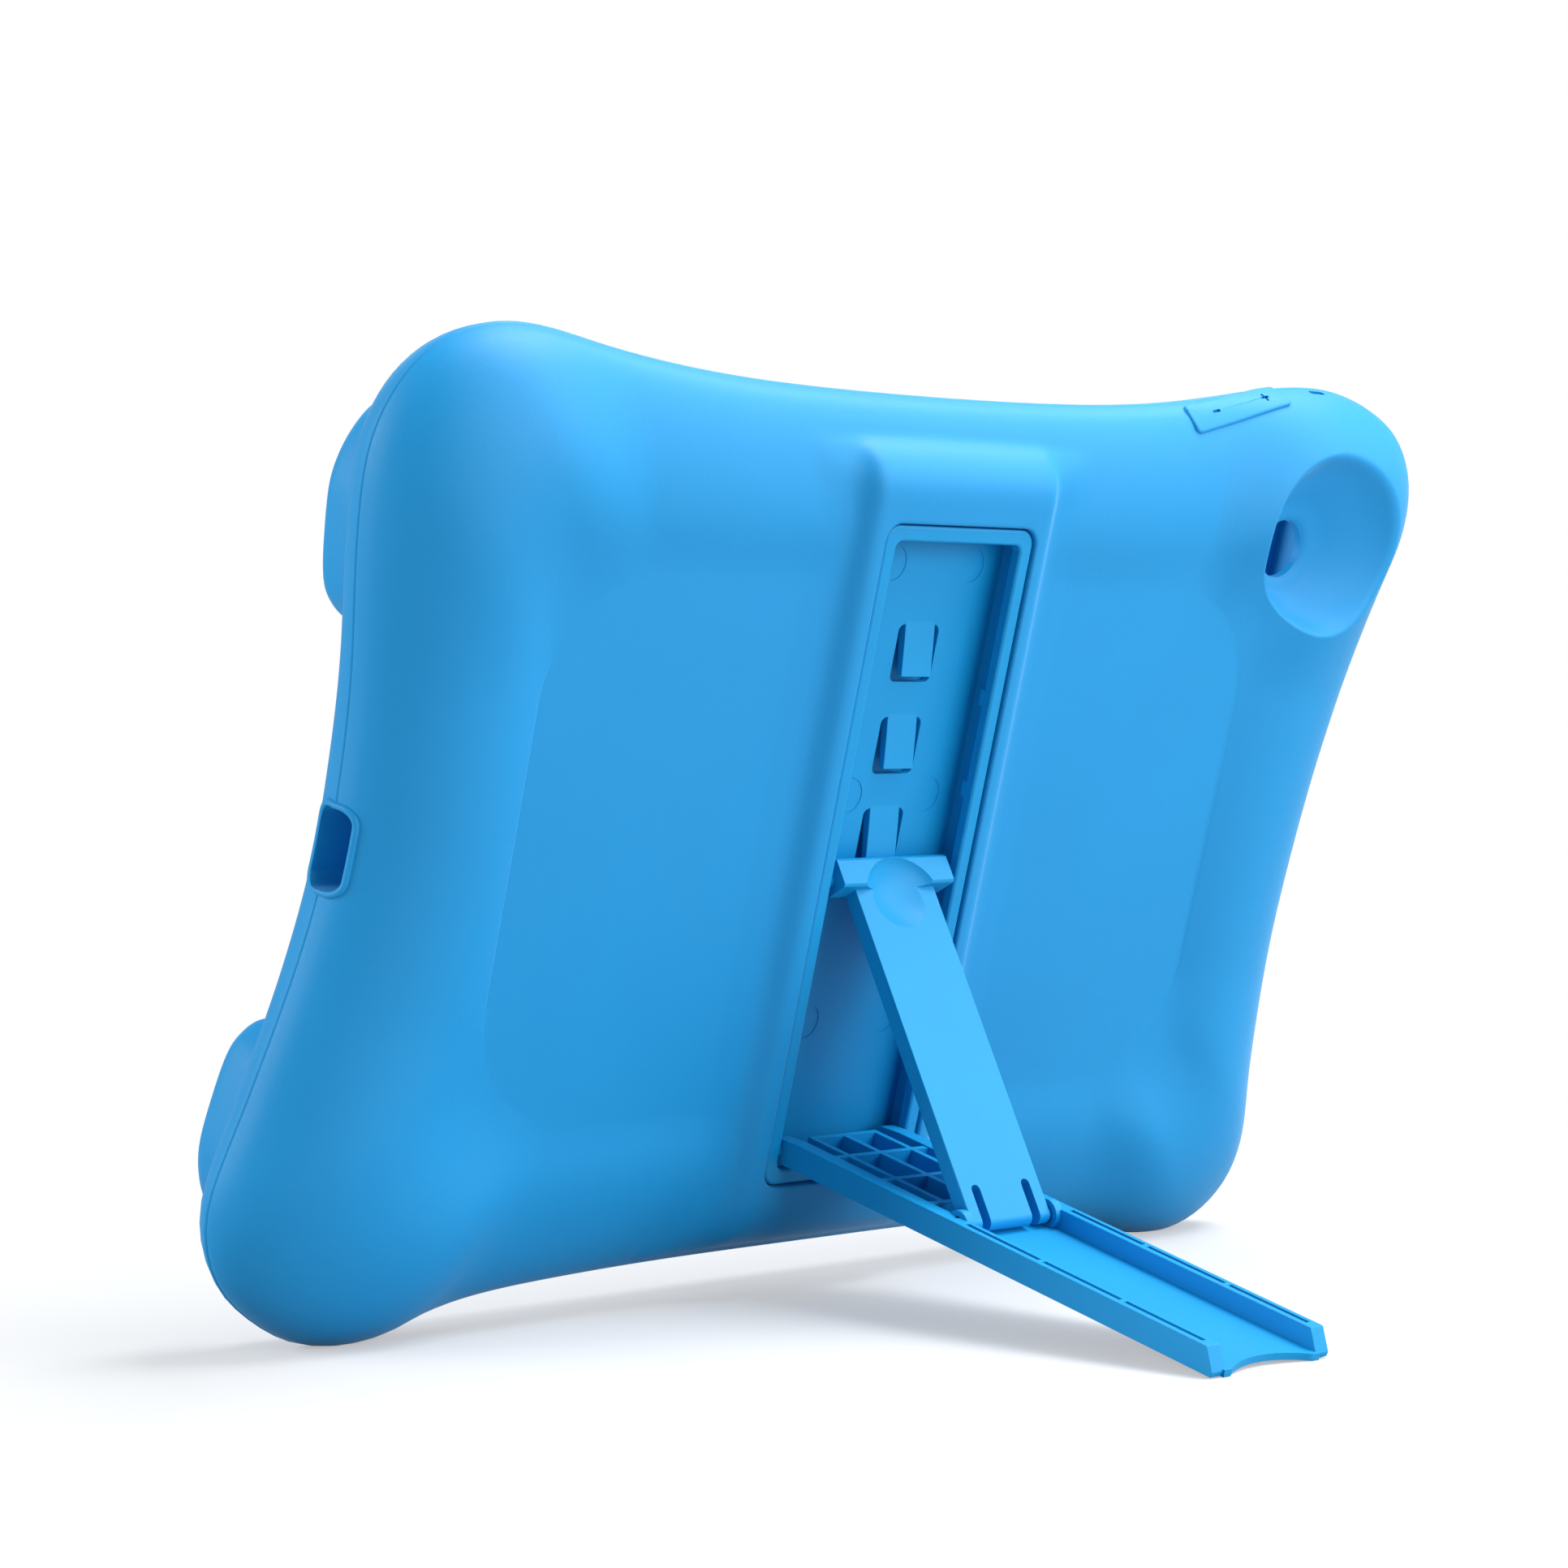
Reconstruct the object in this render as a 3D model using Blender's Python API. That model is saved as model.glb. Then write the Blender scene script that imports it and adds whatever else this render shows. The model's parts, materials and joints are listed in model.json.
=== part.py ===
"""Shockproof tablet case: a silicone bumper shell with a folding plastic stand, built standing as in use.

Sizes are in millimetres in the case's own frame: x across, w out of the back, v up the back from the
leg's hinge. The stage turns that frame back by LEAN and sets it on the floor.
"""

import math

import bmesh
import bpy
import numpy as np
from mathutils import Matrix, Vector
from mathutils.bvhtree import BVHTree

# Standing pose
LEAN = 15.05
LEG_SLOPE = 13.72
FRAME_HEIGHT = 25.97
SHIFT_X, SHIFT_Y = 2.49, -33.29

# Tablet room
TABLET_HALF = (101.8, 67.6)
CENTRE_V = 54.9
POCKET_BACK, POCKET_FRONT = -8.9, -16.2
SCREEN_LIP = 4.0
SCREEN_HALF = (TABLET_HALF[0] - SCREEN_LIP, TABLET_HALF[1] - SCREEN_LIP)
DRAWN_HALF = (101.8, 67.6)

# Outline of the shell at its parting line, as points (u, v), u to the right seen from behind. It and the
# places on it are drawn for the tablet size DRAWN_HALF and move out with TABLET_HALF.
OUTLINE = [
    (118.1, 48), (120.1, 68), (123.7, 88), (127.0, 106), (129.2, 116), (128.7, 125.0),
    (122.6, 132.8), (112.0, 137.0), (100.5, 138.6), (87.5, 137.9), (75.0, 136.0), (60.0, 133.9),
    (40.0, 132.3), (14.0, 131.6), (-14.0, 131.6), (-40.0, 132.3), (-60.0, 133.9), (-75.0, 136.0),
    (-86.0, 137.9), (-96.0, 138.2), (-105.0, 135.6), (-112.1, 129.8), (-116.3, 121.5), (-117.3, 112),
    (-115.9, 98), (-113.6, 82), (-112.6, 66), (-112.9, 50), (-115.3, 34), (-118.6, 20), (-121.8, 8),
    (-124.5, -3.5), (-123.2, -12.5), (-118.9, -19.5), (-112.3, -25.0), (-104.5, -29.2), (-96.5, -30.6),
    (-89.0, -29.8), (-82.5, -27.6), (-72.0, -25.3), (-56.0, -23.9), (-30.0, -23.0), (0.0, -22.8),
    (30.0, -22.8), (56.0, -23.2), (72.0, -24.4), (83.0, -26.8), (91.5, -29.6), (101.5, -31.0),
    (111.5, -29.0), (119.0, -22.8), (121.6, -13.0), (119.8, 0), (118.4, 15), (117.6, 31),
]
RING_POINTS = 2 * len(OUTLINE)

# Back of the bumper: distance in from the outline, height, and extra height at the corners and the ends
PANEL = -3.5
SEAM = -13.7
SEAM_RIDGE = 0.22
BACK_PROFILE = [
    (0.0, -12.9, 0.1, 0.1), (0.4, -10.7, 0.5, 0.5), (1.6, -8.2, 1.5, 1.2), (3.7, -6.0, 2.6, 1.9),
    (6.4, -4.4, 3.4, 2.3), (9.8, -3.3, 3.6, 2.3), (14.0, -2.9, 3.0, 2.0), (19.0, -3.2, 1.6, 1.4),
    (24.0, -3.45, 0.5, 0.6), (29.0, PANEL, 0.0, 0.0),
]
CAMERA_CORNER = 1.6
PANEL_HALF = (84.0, 47.0, 22.0)
FRONT_PROFILE = [
    (0.0, -14.5), (0.035, -16.6), (0.12, -19.3), (0.26, -21.5), (0.42, -22.7), (0.58, -23.0),
    (0.74, -22.2), (0.88, -20.3), (1.0, -18.4),
]

# Raised back plateau: lines across and along with their depth under its top face
PLATEAU_U = [
    (-28.5, 7.5), (-27.9, 3.8), (-26.6, 3.3), (-24.8, 2.8), (-23.2, 1.95), (-21.8, 0.85), (-20.6, 0.2),
    (-19.4, 0.0), (19.4, 0.0), (20.6, 0.2), (21.8, 0.85), (23.2, 1.95), (24.8, 2.8), (26.6, 3.3),
    (27.9, 3.8), (28.5, 7.5),
]
PLATEAU_V = [
    (-19.6, 7.5), (-18.2, 5.3), (-16.2, 3.0), (-13.8, 1.3), (-11.0, 0.3), (-8.6, 0.0), (116.2, 0.0),
    (118.7, 0.25), (121.0, 1.1), (123.0, 2.6), (124.6, 4.6), (125.8, 7.5),
]

# Camera funnel: height, radius, centre and stretch along the back
FUNNEL = [
    (-9.8, 5.4, 92.5, 109.0, 1.0), (-7.6, 5.6, 92.7, 109.1, 1.0), (-6.6, 8.0, 93.2, 109.5, 1.0),
    (-5.2, 11.0, 94.4, 110.2, 0.97), (-3.5, 14.2, 96.0, 111.0, 0.94), (-1.0, 17.4, 98.0, 111.9, 0.92),
    (2.0, 20.0, 99.6, 112.5, 0.91), (6.0, 22.6, 101.3, 113.0, 0.9),
]

# Places on the bumper
HUMPS = ((113.8, 105.5, 0.0, 1), (118.5, 4.2, 4.0, -1))
HUMP_HALF, HUMP_LONG = 8.0, 18.0
HUMP_EDGE = [
    (8.0, 1.9), (7.8, 5.7), (6.7, 9.6), (4.6, 13.6), (1.4, 17.2), (-2.0, 18.0), (-5.5, 17.3), (-7.6, 13.5),
    (-8.0, 5.0), (-8.0, -5.0), (-7.6, -13.5), (-5.5, -17.3), (-2.0, -18.0), (1.5, -17.4), (4.0, -15.5),
    (6.2, -11.7), (7.5, -3.9),
]
PORT_V, PORT_W, PORT_ROUND = (47.6, 60.8), (-17.2, -9.6), 2.6
PORT_LIP = 0.6
PAD_AT, PAD_TILT, PAD_TURN = (-74.9, -10.3, 134.6), 53.0, 11.0
PAD_HALF, PAD_RISE, PAD_PARTS, MARK_DEEP = (13.3, 3.0), 0.6, 12, 1.2
MICROPHONE_AT, MICROPHONE_TILT = (-98.7, -11.8, 138.3), 76.0

# Stand tray
TRAY_HALF, TRAY_V = 17.85, (-5.86, 111.94)
RIM_TOP, RIM_WIDTH, RIM_UNDER = -0.5, 2.8, -2.6
FLOOR_TOP, FLOOR_UNDER = -6.3, -7.7
BACK_WALL = -8.0
GROOVE_HALF, GROOVE_V = 16.9, (-4.9, 111.0)
FLANGE_HALF, FLANGE_V = 26.0, (-14.0, 120.0)
FIT = 0.3
TAB_FREE_ENDS = (51.55, 68.0, 84.5)
TAB_HALF, TAB_LONG, TAB_RISE, TAB_THICK = 3.55, 8.5, 1.4, 1.25
WINDOW_HALF, WINDOW_BELOW, WINDOW_ABOVE = 4.8, 1.2, 0.4

# Stand leg and strut
HINGE_W = -2.26
REST_ANGLE = 90.0 - LEAN + LEG_SLOPE
LEG_HALF, RAIL_WIDE = 14.25, 3.2
LEG_TOP, LEG_UNDER, WEB_TOP = 2.49, -2.19, -0.99
LEG_LONG, RAIL_LONG = 102.9, 100.5
HINGE_PIN, HINGE_HOLE = 1.1, 1.4
STRUT_AT = (42.2, 0.95)
STRUT_LONG, GROOVE_LINE = 63.73, -3.2
STRUT_HALF, STRUT_OUT, STRUT_IN = 9.48, 1.6, -1.4
HEAD_HALF, HEAD_LONG, HEAD_OUT, HEAD_IN = 13.3, 5.5, 3.4, -1.5
STRUT_PIN, STRUT_HOLE = 1.3, 1.6

ROUND = 28


def clear_scene():
    for thing in list(bpy.data.objects):
        bpy.data.objects.remove(thing, do_unlink=True)


def mesh_object(name, points, faces):
    """A closed mesh with its faces turned outwards, from points in the frame (x, w, v)."""
    mesh = bpy.data.meshes.new(name)
    mesh.from_pydata([tuple(float(c) for c in p) for p in points], [], faces)
    shape = bmesh.new()
    shape.from_mesh(mesh)
    bmesh.ops.recalc_face_normals(shape, faces=shape.faces)
    if shape.calc_volume(signed=True) < 0:
        bmesh.ops.reverse_faces(shape, faces=shape.faces)
    shape.to_mesh(mesh)
    shape.free()
    thing = bpy.data.objects.new(name, mesh)
    bpy.context.scene.collection.objects.link(thing)
    return thing


def loft(name, loops):
    """A solid through loops of as many points each, with a flat face on the first and the last."""
    count = len(loops[0])
    points = [p for loop in loops for p in loop]
    faces = [tuple(range(count)), tuple(range((len(loops) - 1) * count, len(loops) * count))]
    for row in range(len(loops) - 1):
        for i in range(count):
            j = (i + 1) % count
            a, b = row * count, (row + 1) * count
            faces.append((a + i, a + j, b + j, b + i))
    return mesh_object(name, points, faces)


def combine(target, operation, others):
    """Joins or cuts the others with the target for good, and removes them."""
    for other in others:
        step = target.modifiers.new(other.name, "BOOLEAN")
        step.operation = operation
        step.solver = "EXACT"
        step.object = other
        graph = bpy.context.evaluated_depsgraph_get()
        mesh = bpy.data.meshes.new_from_object(target.evaluated_get(graph))
        target.modifiers.clear()
        old, target.data = target.data, mesh
        bpy.data.meshes.remove(old)
        bpy.data.objects.remove(other, do_unlink=True)
    return target


def join(target, *others):
    return combine(target, "UNION", others)


def cut(target, *others):
    return combine(target, "DIFFERENCE", others)


def rounded(half_x, v_range, radius, steps=5):
    """Corner points (x, v) of a rectangle with round corners."""
    low, high = v_range
    points = []
    for cx, cv, start in (
        (half_x - radius, high - radius, 0), (radius - half_x, high - radius, 90),
        (radius - half_x, low + radius, 180), (half_x - radius, low + radius, 270),
    ):
        for k in range(steps + 1):
            a = math.radians(start + 90 * k / steps)
            points.append((cx + radius * math.cos(a), cv + radius * math.sin(a)))
    return points


def plate(name, outline, w_low, w_high):
    """A plate with an outline of points (x, v) between two depths."""
    return loft(name, [[(x, w, v) for x, v in outline] for w in (w_low, w_high)])


def across(name, outline, x_low, x_high):
    """A solid with a side outline of points (w, v), running across from x_low to x_high."""
    return loft(name, [[(x, w, v) for w, v in outline] for x in (x_low, x_high)])


def circle(centre, radius, count=ROUND):
    turn = [math.tau * (k + 0.5) / count for k in range(count)]
    return [(centre[0] + radius * math.cos(a), centre[1] + radius * math.sin(a)) for a in turn]


def block(name, x, w, v):
    return plate(name, [(x[0], v[0]), (x[1], v[0]), (x[1], v[1]), (x[0], v[1])], *w)


def spline(points, count):
    """A closed smooth curve through the points, sampled evenly between them."""
    p = np.array(points, float)
    n = len(p)
    system = 4 * np.eye(n) + np.roll(np.eye(n), 1, axis=1) + np.roll(np.eye(n), -1, axis=1)
    slope = np.linalg.solve(system, 3 * (np.roll(p, -1, axis=0) - np.roll(p, 1, axis=0)))
    out = []
    for k in range(count):
        at = k * n / count
        i, t = int(at), at - int(at)
        a, b, da, db = p[i], p[(i + 1) % n], slope[i], slope[(i + 1) % n]
        out.append(
            a * (1 + 2 * t) * (1 - t) ** 2 + da * t * (1 - t) ** 2
            + b * t * t * (3 - 2 * t) - db * t * t * (1 - t)
        )
    return np.array(out)


def nearest_on(points, half_x, half_v, radius):
    """For each outer point, the closest point of a rounded rectangle about the case's centre."""
    rel = points - (0, CENTRE_V)
    inner = np.clip(rel, (radius - half_x, radius - half_v), (half_x - radius, half_v - radius))
    away = rel - inner
    return inner + radius * away / np.linalg.norm(away, axis=1)[:, None] + (0, CENTRE_V)


def eased(share):
    share = np.clip(share, 0, 1)
    return share * share * (3 - 2 * share)


def corner_share(points):
    """How far each point of the outline belongs to a corner, and to the middle of a short end."""
    ends = eased((abs(points[:, 0]) - 70) / 34)
    along = eased((abs(points[:, 1] - CENTRE_V) - 26) / 40)
    camera = (points[:, 0] > 0) & (points[:, 1] > CENTRE_V)
    return ends * along * np.where(camera, CAMERA_CORNER, 1.0), ends * (1 - along)


def moved(u, v):
    """A place drawn for DRAWN_HALF, moved out to where it lies on a case for TABLET_HALF."""
    out = [
        (now - drawn) * max(-1.0, min(1.0, at / drawn))
        for now, drawn, at in zip(TABLET_HALF, DRAWN_HALF, (u, v - CENTRE_V))
    ]
    return u + out[0], v + out[1]


def ring(points, heights):
    return [(-u, w, v) for (u, v), w in zip(points, np.broadcast_to(heights, len(points)))]


def bumper_body():
    """The shell's skin as one lofted solid: back panel, bumper, front lip and the tablet's pocket."""
    edge = spline([moved(u, v) for u, v in OUTLINE], RING_POINTS)
    ahead = np.roll(edge, -1, axis=0) - np.roll(edge, 1, axis=0)
    outward = np.stack([ahead[:, 1], -ahead[:, 0]], 1)
    outward /= np.linalg.norm(outward, axis=1)[:, None]
    outward *= np.where(((edge - (0, CENTRE_V)) * outward).sum(1) < 0, -1, 1)[:, None]
    corner, end = corner_share(edge)
    panel = nearest_on(edge, *PANEL_HALF)
    span = np.linalg.norm(panel - edge, axis=1)
    loops = []
    for inset, height, corner_extra, end_extra in reversed(BACK_PROFILE):
        share = inset / BACK_PROFILE[-1][0]
        reach = (inset * (1 - share) + span * share) / span
        heights = height + corner_extra * corner + end_extra * end
        loops.append(ring(edge + (panel - edge) * reach[:, None], heights))
    loops.append(ring(edge + outward * SEAM_RIDGE, SEAM))
    screen = nearest_on(edge, *SCREEN_HALF, 4.0)
    for share, height in FRONT_PROFILE:
        loops.append(ring(edge + (screen - edge) * share, height - 0.8 * corner * math.sin(math.pi * share)))
    pocket = nearest_on(edge, *TABLET_HALF, 9.0)
    loops.append(ring(screen, POCKET_FRONT))
    loops.append(ring(pocket, POCKET_FRONT))
    loops.append(ring(pocket, POCKET_BACK))
    return loft("case_shell", loops)


def plateau():
    """The raised back that holds the stand: a grid of heights over a plinth inside the wall."""
    deepest = PLATEAU_U[0][1]
    points = [
        (-u, -deepest + (deepest - du) * (deepest - dv) / deepest, v)
        for v, dv in PLATEAU_V for u, du in PLATEAU_U
    ]
    wide, high = len(PLATEAU_U), len(PLATEAU_V)
    faces = [
        (r * wide + c, r * wide + c + 1, (r + 1) * wide + c + 1, (r + 1) * wide + c)
        for r in range(high - 1) for c in range(wide - 1)
    ]
    border = list(range(wide)) + [r * wide + wide - 1 for r in range(1, high)]
    border += [(high - 1) * wide + c for c in range(wide - 2, -1, -1)]
    border += [r * wide for r in range(high - 2, 0, -1)]
    count = len(points)
    points += [(points[k][0], -deepest - 0.7, points[k][2]) for k in border]
    around = len(border)
    faces += [
        (border[i], border[(i + 1) % around], count + (i + 1) % around, count + i) for i in range(around)
    ]
    faces.append(tuple(range(count, count + around)))
    return mesh_object("plateau", points, faces)


def camera_funnel():
    """The dish round the camera hole, flaring out over the corner."""
    loops = []
    for w, radius, u, v, tall in FUNNEL:
        u, v = moved(u, v)
        loops.append([
            (-u - radius * math.cos(math.tau * k / 32), w, v + tall * radius * math.sin(math.tau * k / 32))
            for k in range(32)
        ])
    return loft("camera_funnel", loops)


def side_outline(v_range, w_range, radius, steps=5):
    """Points (w, v) of a rectangle with round corners, seen from the side."""
    half = (w_range[1] - w_range[0]) / 2
    middle = (w_range[1] + w_range[0]) / 2
    return [(middle + x, v) for x, v in rounded(half, v_range, radius, steps)]


def front_hump(x, v, turn, end):
    """A cupped hump on the front of the charging end, and the shape that cuts its cup."""
    c, s = math.cos(math.radians(turn)), math.sin(math.radians(turn))
    x, v = moved(x, v)
    edge = spline(HUMP_EDGE, 3 * len(HUMP_EDGE))
    loops = []
    for w, inset in ((-16.0, 0.0), (-25.5, 0.0), (-27.6, 0.7), (-29.0, 2.4), (-29.4, 4.6)):
        wide, long = 1 - inset / HUMP_HALF, end * (1 - inset / HUMP_LONG)
        loops.append([
            (x - HUMP_HALF + a * wide * c - b * long * s, w, v + a * wide * s + b * long * c) for a, b in edge
        ])
    hump = loft("front_hump", loops)
    cup = []
    for w, size in ((-23.5, 1.0), (-26.5, 1.04), (-31.0, 1.14)):
        outline = rounded(7.0 * size, (v - 11.5 * size, v + 11.5 * size), 6.5, 5)
        cup.append([(x - 13.0 + a, w, z) for a, z in outline])
    return hump, loft("hump_cup", cup)


def skin_tree(shell):
    shape = bmesh.new()
    shape.from_mesh(shell.data)
    tree = BVHTree.FromBMesh(shape)
    shape.free()
    return tree


def draped(tree, points, out):
    """Drops points along a direction, given outwards, onto the shell's skin."""
    out = Vector(out).normalized()
    return [tree.ray_cast(Vector(p) + out * 40, -out)[0] for p in points]


def port_lip(tree):
    """A round bead that follows the skin round the charging port."""
    out = 0.6 * PORT_LIP
    v_range, w_range = ((low - out, high + out) for low, high in (PORT_V, PORT_W))
    mouth = side_outline(v_range, w_range, PORT_ROUND, 6)
    start = moved(110.0, CENTRE_V)[0]
    path = draped(tree, [(start, w, v) for w, v in mouth], (1, 0, 0))
    middle = Vector((0, sum(PORT_W) / 2, sum(PORT_V) / 2))
    rows = []
    for point in path:
        away = (Vector((0, point.y, point.z)) - middle).normalized()
        for k in range(8):
            a = math.tau * k / 8
            rows.append(point + PORT_LIP * (away * math.cos(a) + Vector((math.sin(a), 0, 0))))
    count = len(path)
    faces = [
        (r * 8 + k, r * 8 + (k + 1) % 8, (r + 1) % count * 8 + (k + 1) % 8, (r + 1) % count * 8 + k)
        for r in range(count) for k in range(8)
    ]
    return mesh_object("port_lip", rows, faces)


def placed(thing, x, w, v, turn_about_x):
    """Turns a helper shape made about the origin and moves it to its place."""
    thing.data.transform(Matrix.Translation((x, w, v)) @ Matrix.Rotation(math.radians(turn_about_x), 4, "X"))
    return thing


def volume_pad(tree):
    """The low volume pad that follows the top edge, with sunk minus and plus marks."""
    u, v = moved(PAD_AT[0], PAD_AT[2])
    place = Matrix.Translation((u, PAD_AT[1], v)) @ Matrix.Rotation(math.radians(PAD_TILT), 4, "X")
    place = place @ Matrix.Rotation(math.radians(PAD_TURN), 4, "Y")
    out = place.to_3x3() @ Vector((0, 1, 0))
    loops = []
    edge = [(0.0, -2.0), (0.0, 0.35), (0.35, PAD_RISE)]
    for inset, rise in edge + [(inset, PAD_RISE) for inset in (1.0, 1.8, 2.87)]:
        half_x, half_v = PAD_HALF[0] - inset, PAD_HALF[1] - inset
        outline = rounded(half_x, (-half_v, half_v), min(max(0.1, 1.2 - inset), 0.9 * half_v), 3)
        spread = []
        for (x0, v0), (x1, v1) in zip(outline, outline[1:] + outline[:1]):
            parts = PAD_PARTS if abs(x1 - x0) > half_x else 1
            spread += [(x0 + (x1 - x0) * k / parts, v0 + (v1 - v0) * k / parts) for k in range(parts)]
        skin = draped(tree, [place @ Vector((x, 0, v)) for x, v in spread], out)
        loops.append([point + out * rise for point in skin])
    pad = loft("volume_pad", loops)
    for name, x, v in (
        ("minus", (5.4, 7.4), (-0.3, 0.3)), ("plus_across", (-8.7, -6.7), (-0.3, 0.3)),
        ("plus_along", (-8.0, -7.4), (-1.0, 1.0)),
    ):
        middle = place @ Vector((sum(x) / 2, 0, sum(v) / 2))
        floor = (draped(tree, [middle], out)[0] - middle).dot(out) + PAD_RISE - MARK_DEEP
        mark = block(name, x, (floor, floor + 3.0), v)
        mark.data.transform(place)
        cut(pad, mark)
    return pad


def case_shell():
    shell = bumper_body()
    tree = skin_tree(shell)
    join(shell, plateau())
    for place in HUMPS:
        hump, cup = front_hump(*place)
        join(shell, hump)
        cut(shell, cup)
    join(shell, port_lip(tree), volume_pad(tree))
    mouth = side_outline(PORT_V, PORT_W, PORT_ROUND)
    cut(shell, across("port", mouth, TABLET_HALF[0] - 2.8, TABLET_HALF[0] + 24.0))
    cut(shell, camera_funnel())
    x, v = moved(MICROPHONE_AT[0], MICROPHONE_AT[2])
    slot = plate("microphone", rounded(2.1, (-0.6, 0.6), 0.55, 4), -1.5, 6.0)
    cut(shell, placed(slot, x, MICROPHONE_AT[1], v, MICROPHONE_TILT))
    opening = rounded(TRAY_HALF + FIT, (TRAY_V[0] - FIT, TRAY_V[1] + FIT), 3.3)
    cut(shell, plate("stand_opening", opening, BACK_WALL, 1.5))
    recess = rounded(FLANGE_HALF + FIT, (FLANGE_V[0] - FIT, FLANGE_V[1] + FIT), 4.3)
    cut(shell, plate("flange_recess", recess, BACK_WALL, -6.1))
    return shell


def spring_tab(free_end):
    """One spring tab: a strip rising from the floor at its top end to its free lower end."""
    top = free_end + TAB_LONG
    rise = FLOOR_TOP + TAB_RISE
    outline = [
        (FLOOR_TOP, top + 1.2), (FLOOR_UNDER, top + 1.2), (FLOOR_UNDER, top - 0.6),
        (rise - TAB_THICK, free_end), (rise, free_end), (FLOOR_TOP + 0.55, top - 2.2),
    ]
    return across("spring_tab", outline, -TAB_HALF, TAB_HALF)


def stand_tray():
    tray = plate("stand_tray", rounded(TRAY_HALF, TRAY_V, 3.0), FLOOR_UNDER, RIM_TOP)
    join(tray, plate("flange", rounded(FLANGE_HALF, FLANGE_V, 4.0), FLOOR_UNDER, -6.4))
    inside = rounded(TRAY_HALF - RIM_WIDTH, (TRAY_V[0] + RIM_WIDTH, TRAY_V[1] - RIM_WIDTH), 1.4)
    cut(tray, plate("inside", inside, FLOOR_TOP, 1.0))
    cut(tray, plate("grooves", rounded(GROOVE_HALF, GROOVE_V, 2.0), FLOOR_TOP, RIM_UNDER))
    for free_end in TAB_FREE_ENDS:
        window = rounded(
            WINDOW_HALF, (free_end - WINDOW_BELOW, free_end + TAB_LONG + WINDOW_ABOVE), 1.2, 4
        )
        cut(tray, plate("window", window, FLOOR_UNDER - 1, FLOOR_TOP + 1))
        join(tray, spring_tab(free_end))
    for x, v in ((9.4, 104.2), (-9.4, 104.2), (9.4, 63.0), (-9.4, 63.0), (9.4, 22.0), (-9.4, 22.0)):
        mark = plate("ejector_mark", [(x + a, v + b) for a, b in circle((0, 0), 3.2, 20)], -6.45, -6.0)
        cut(tray, mark)
    for side in (-1, 1):
        for v in (64.9, 81.4):
            bump = block("detent", sorted((side * 14.95, side * 16.2)), (-3.25, -2.3), (v - 1.4, v + 1.4))
            join(tray, bump)
        hole = across("hinge_hole", circle((HINGE_W, 0.0), HINGE_HOLE), *sorted((side * 14.0, side * 17.1)))
        cut(tray, hole)
    return tray


def leg_side(points):
    """Turns points (s, t) of the leg, along it and up to its rail tops, to (w, v) of the folded leg."""
    return [(-t, s) for s, t in points]


def unfold_leg(thing):
    """Turns the leg from its folded place to its rest slope, about its hinge."""
    turn = Matrix.Rotation(math.radians(-REST_ANGLE), 4, "X")
    thing.data.transform(Matrix.Translation((0, HINGE_W, 0)) @ turn)
    return thing


def leg_block(name, x, s, t):
    low, high = sorted(x)
    return across(name, leg_side([(s[0], t[0]), (s[1], t[0]), (s[1], t[1]), (s[0], t[1])]), low, high)


def leg_plate(name, outline, t_low, t_high):
    """A plate of the leg with an outline of points (x, s)."""
    loops = []
    for t in (t_low, t_high):
        sides = leg_side([(s, t) for _, s in outline])
        loops.append([(x, w, v) for (x, _), (w, v) in zip(outline, sides)])
    return loft(name, loops)


def stand_leg():
    inner = LEG_HALF - RAIL_WIDE
    turns = [math.radians(180 * k / 12) for k in range(13)]
    rail = [(LEG_UNDER * math.sin(a), LEG_UNDER * math.cos(a)) for a in turns]
    rail += [(4.0, LEG_TOP), (RAIL_LONG, LEG_TOP), (LEG_LONG - 0.3, -1.3), (LEG_LONG - 0.6, LEG_UNDER)]
    leg = across("stand_leg", leg_side(rail), inner, LEG_HALF)
    join_later = [across("rail", leg_side(rail), -LEG_HALF, -inner)]
    arc = [(10.0 - 20.0 * k / 14, 2.8 * math.sin(math.pi * k / 14) ** 0.8) for k in range(15)]
    web = [(inner + 0.6, 10.5), (inner + 0.6, LEG_LONG)] + [(x, LEG_LONG - d) for x, d in arc]
    web += [(-inner - 0.6, LEG_LONG), (-inner - 0.6, 10.5)]
    web += [(-8.2, 10.5), (-8.2, 1.0), (8.2, 1.0), (8.2, 10.5)]
    join_later.append(leg_plate("web", web, LEG_UNDER, WEB_TOP))
    rib_top = LEG_TOP - 0.25
    for s, half in ((1.0, 8.2), (10.5, inner + 0.5), (22.3, inner + 0.5), (34.1, inner + 0.5)):
        join_later.append(leg_block("cross_rib", (-half, half), (s, s + 1.2), (LEG_UNDER + 0.3, rib_top)))
    for x in (-7.6, 0.0, 7.6):
        join_later.append(leg_block("long_rib", (x - 0.6, x + 0.6), (1.4, 34.8), (LEG_UNDER + 0.3, rib_top)))
    for side in (-1, 1):
        boss = circle(STRUT_AT, 2.6)
        join_later.append(across("boss", leg_side(boss), *sorted((side * (inner + 0.5), side * 9.9))))
        pin = leg_side(circle((0, 0), HINGE_PIN, 20))
        join_later.append(across("hinge_pin", pin, *sorted((side * 13.5, side * 16.8))))
    join(leg, *join_later)
    for side in (-1, 1):
        hole = leg_side(circle(STRUT_AT, STRUT_HOLE, 24))
        cut(leg, across("strut_hole", hole, *sorted((side * 9.0, side * 12.3))))
        for s in ((45.4, 62.3), (63.3, 80.6), (81.6, 98.6)):
            pocket = leg_block("pocket", (side * 12.15, side * 13.15), s, (-0.6, LEG_TOP + 1))
            cut(leg, pocket)
    return unfold_leg(leg)


def strut_side(points):
    """Turns points (s, n) of the strut, along it and out of its outer face, to (w, v)."""
    return [(n, s) for s, n in points]


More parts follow.
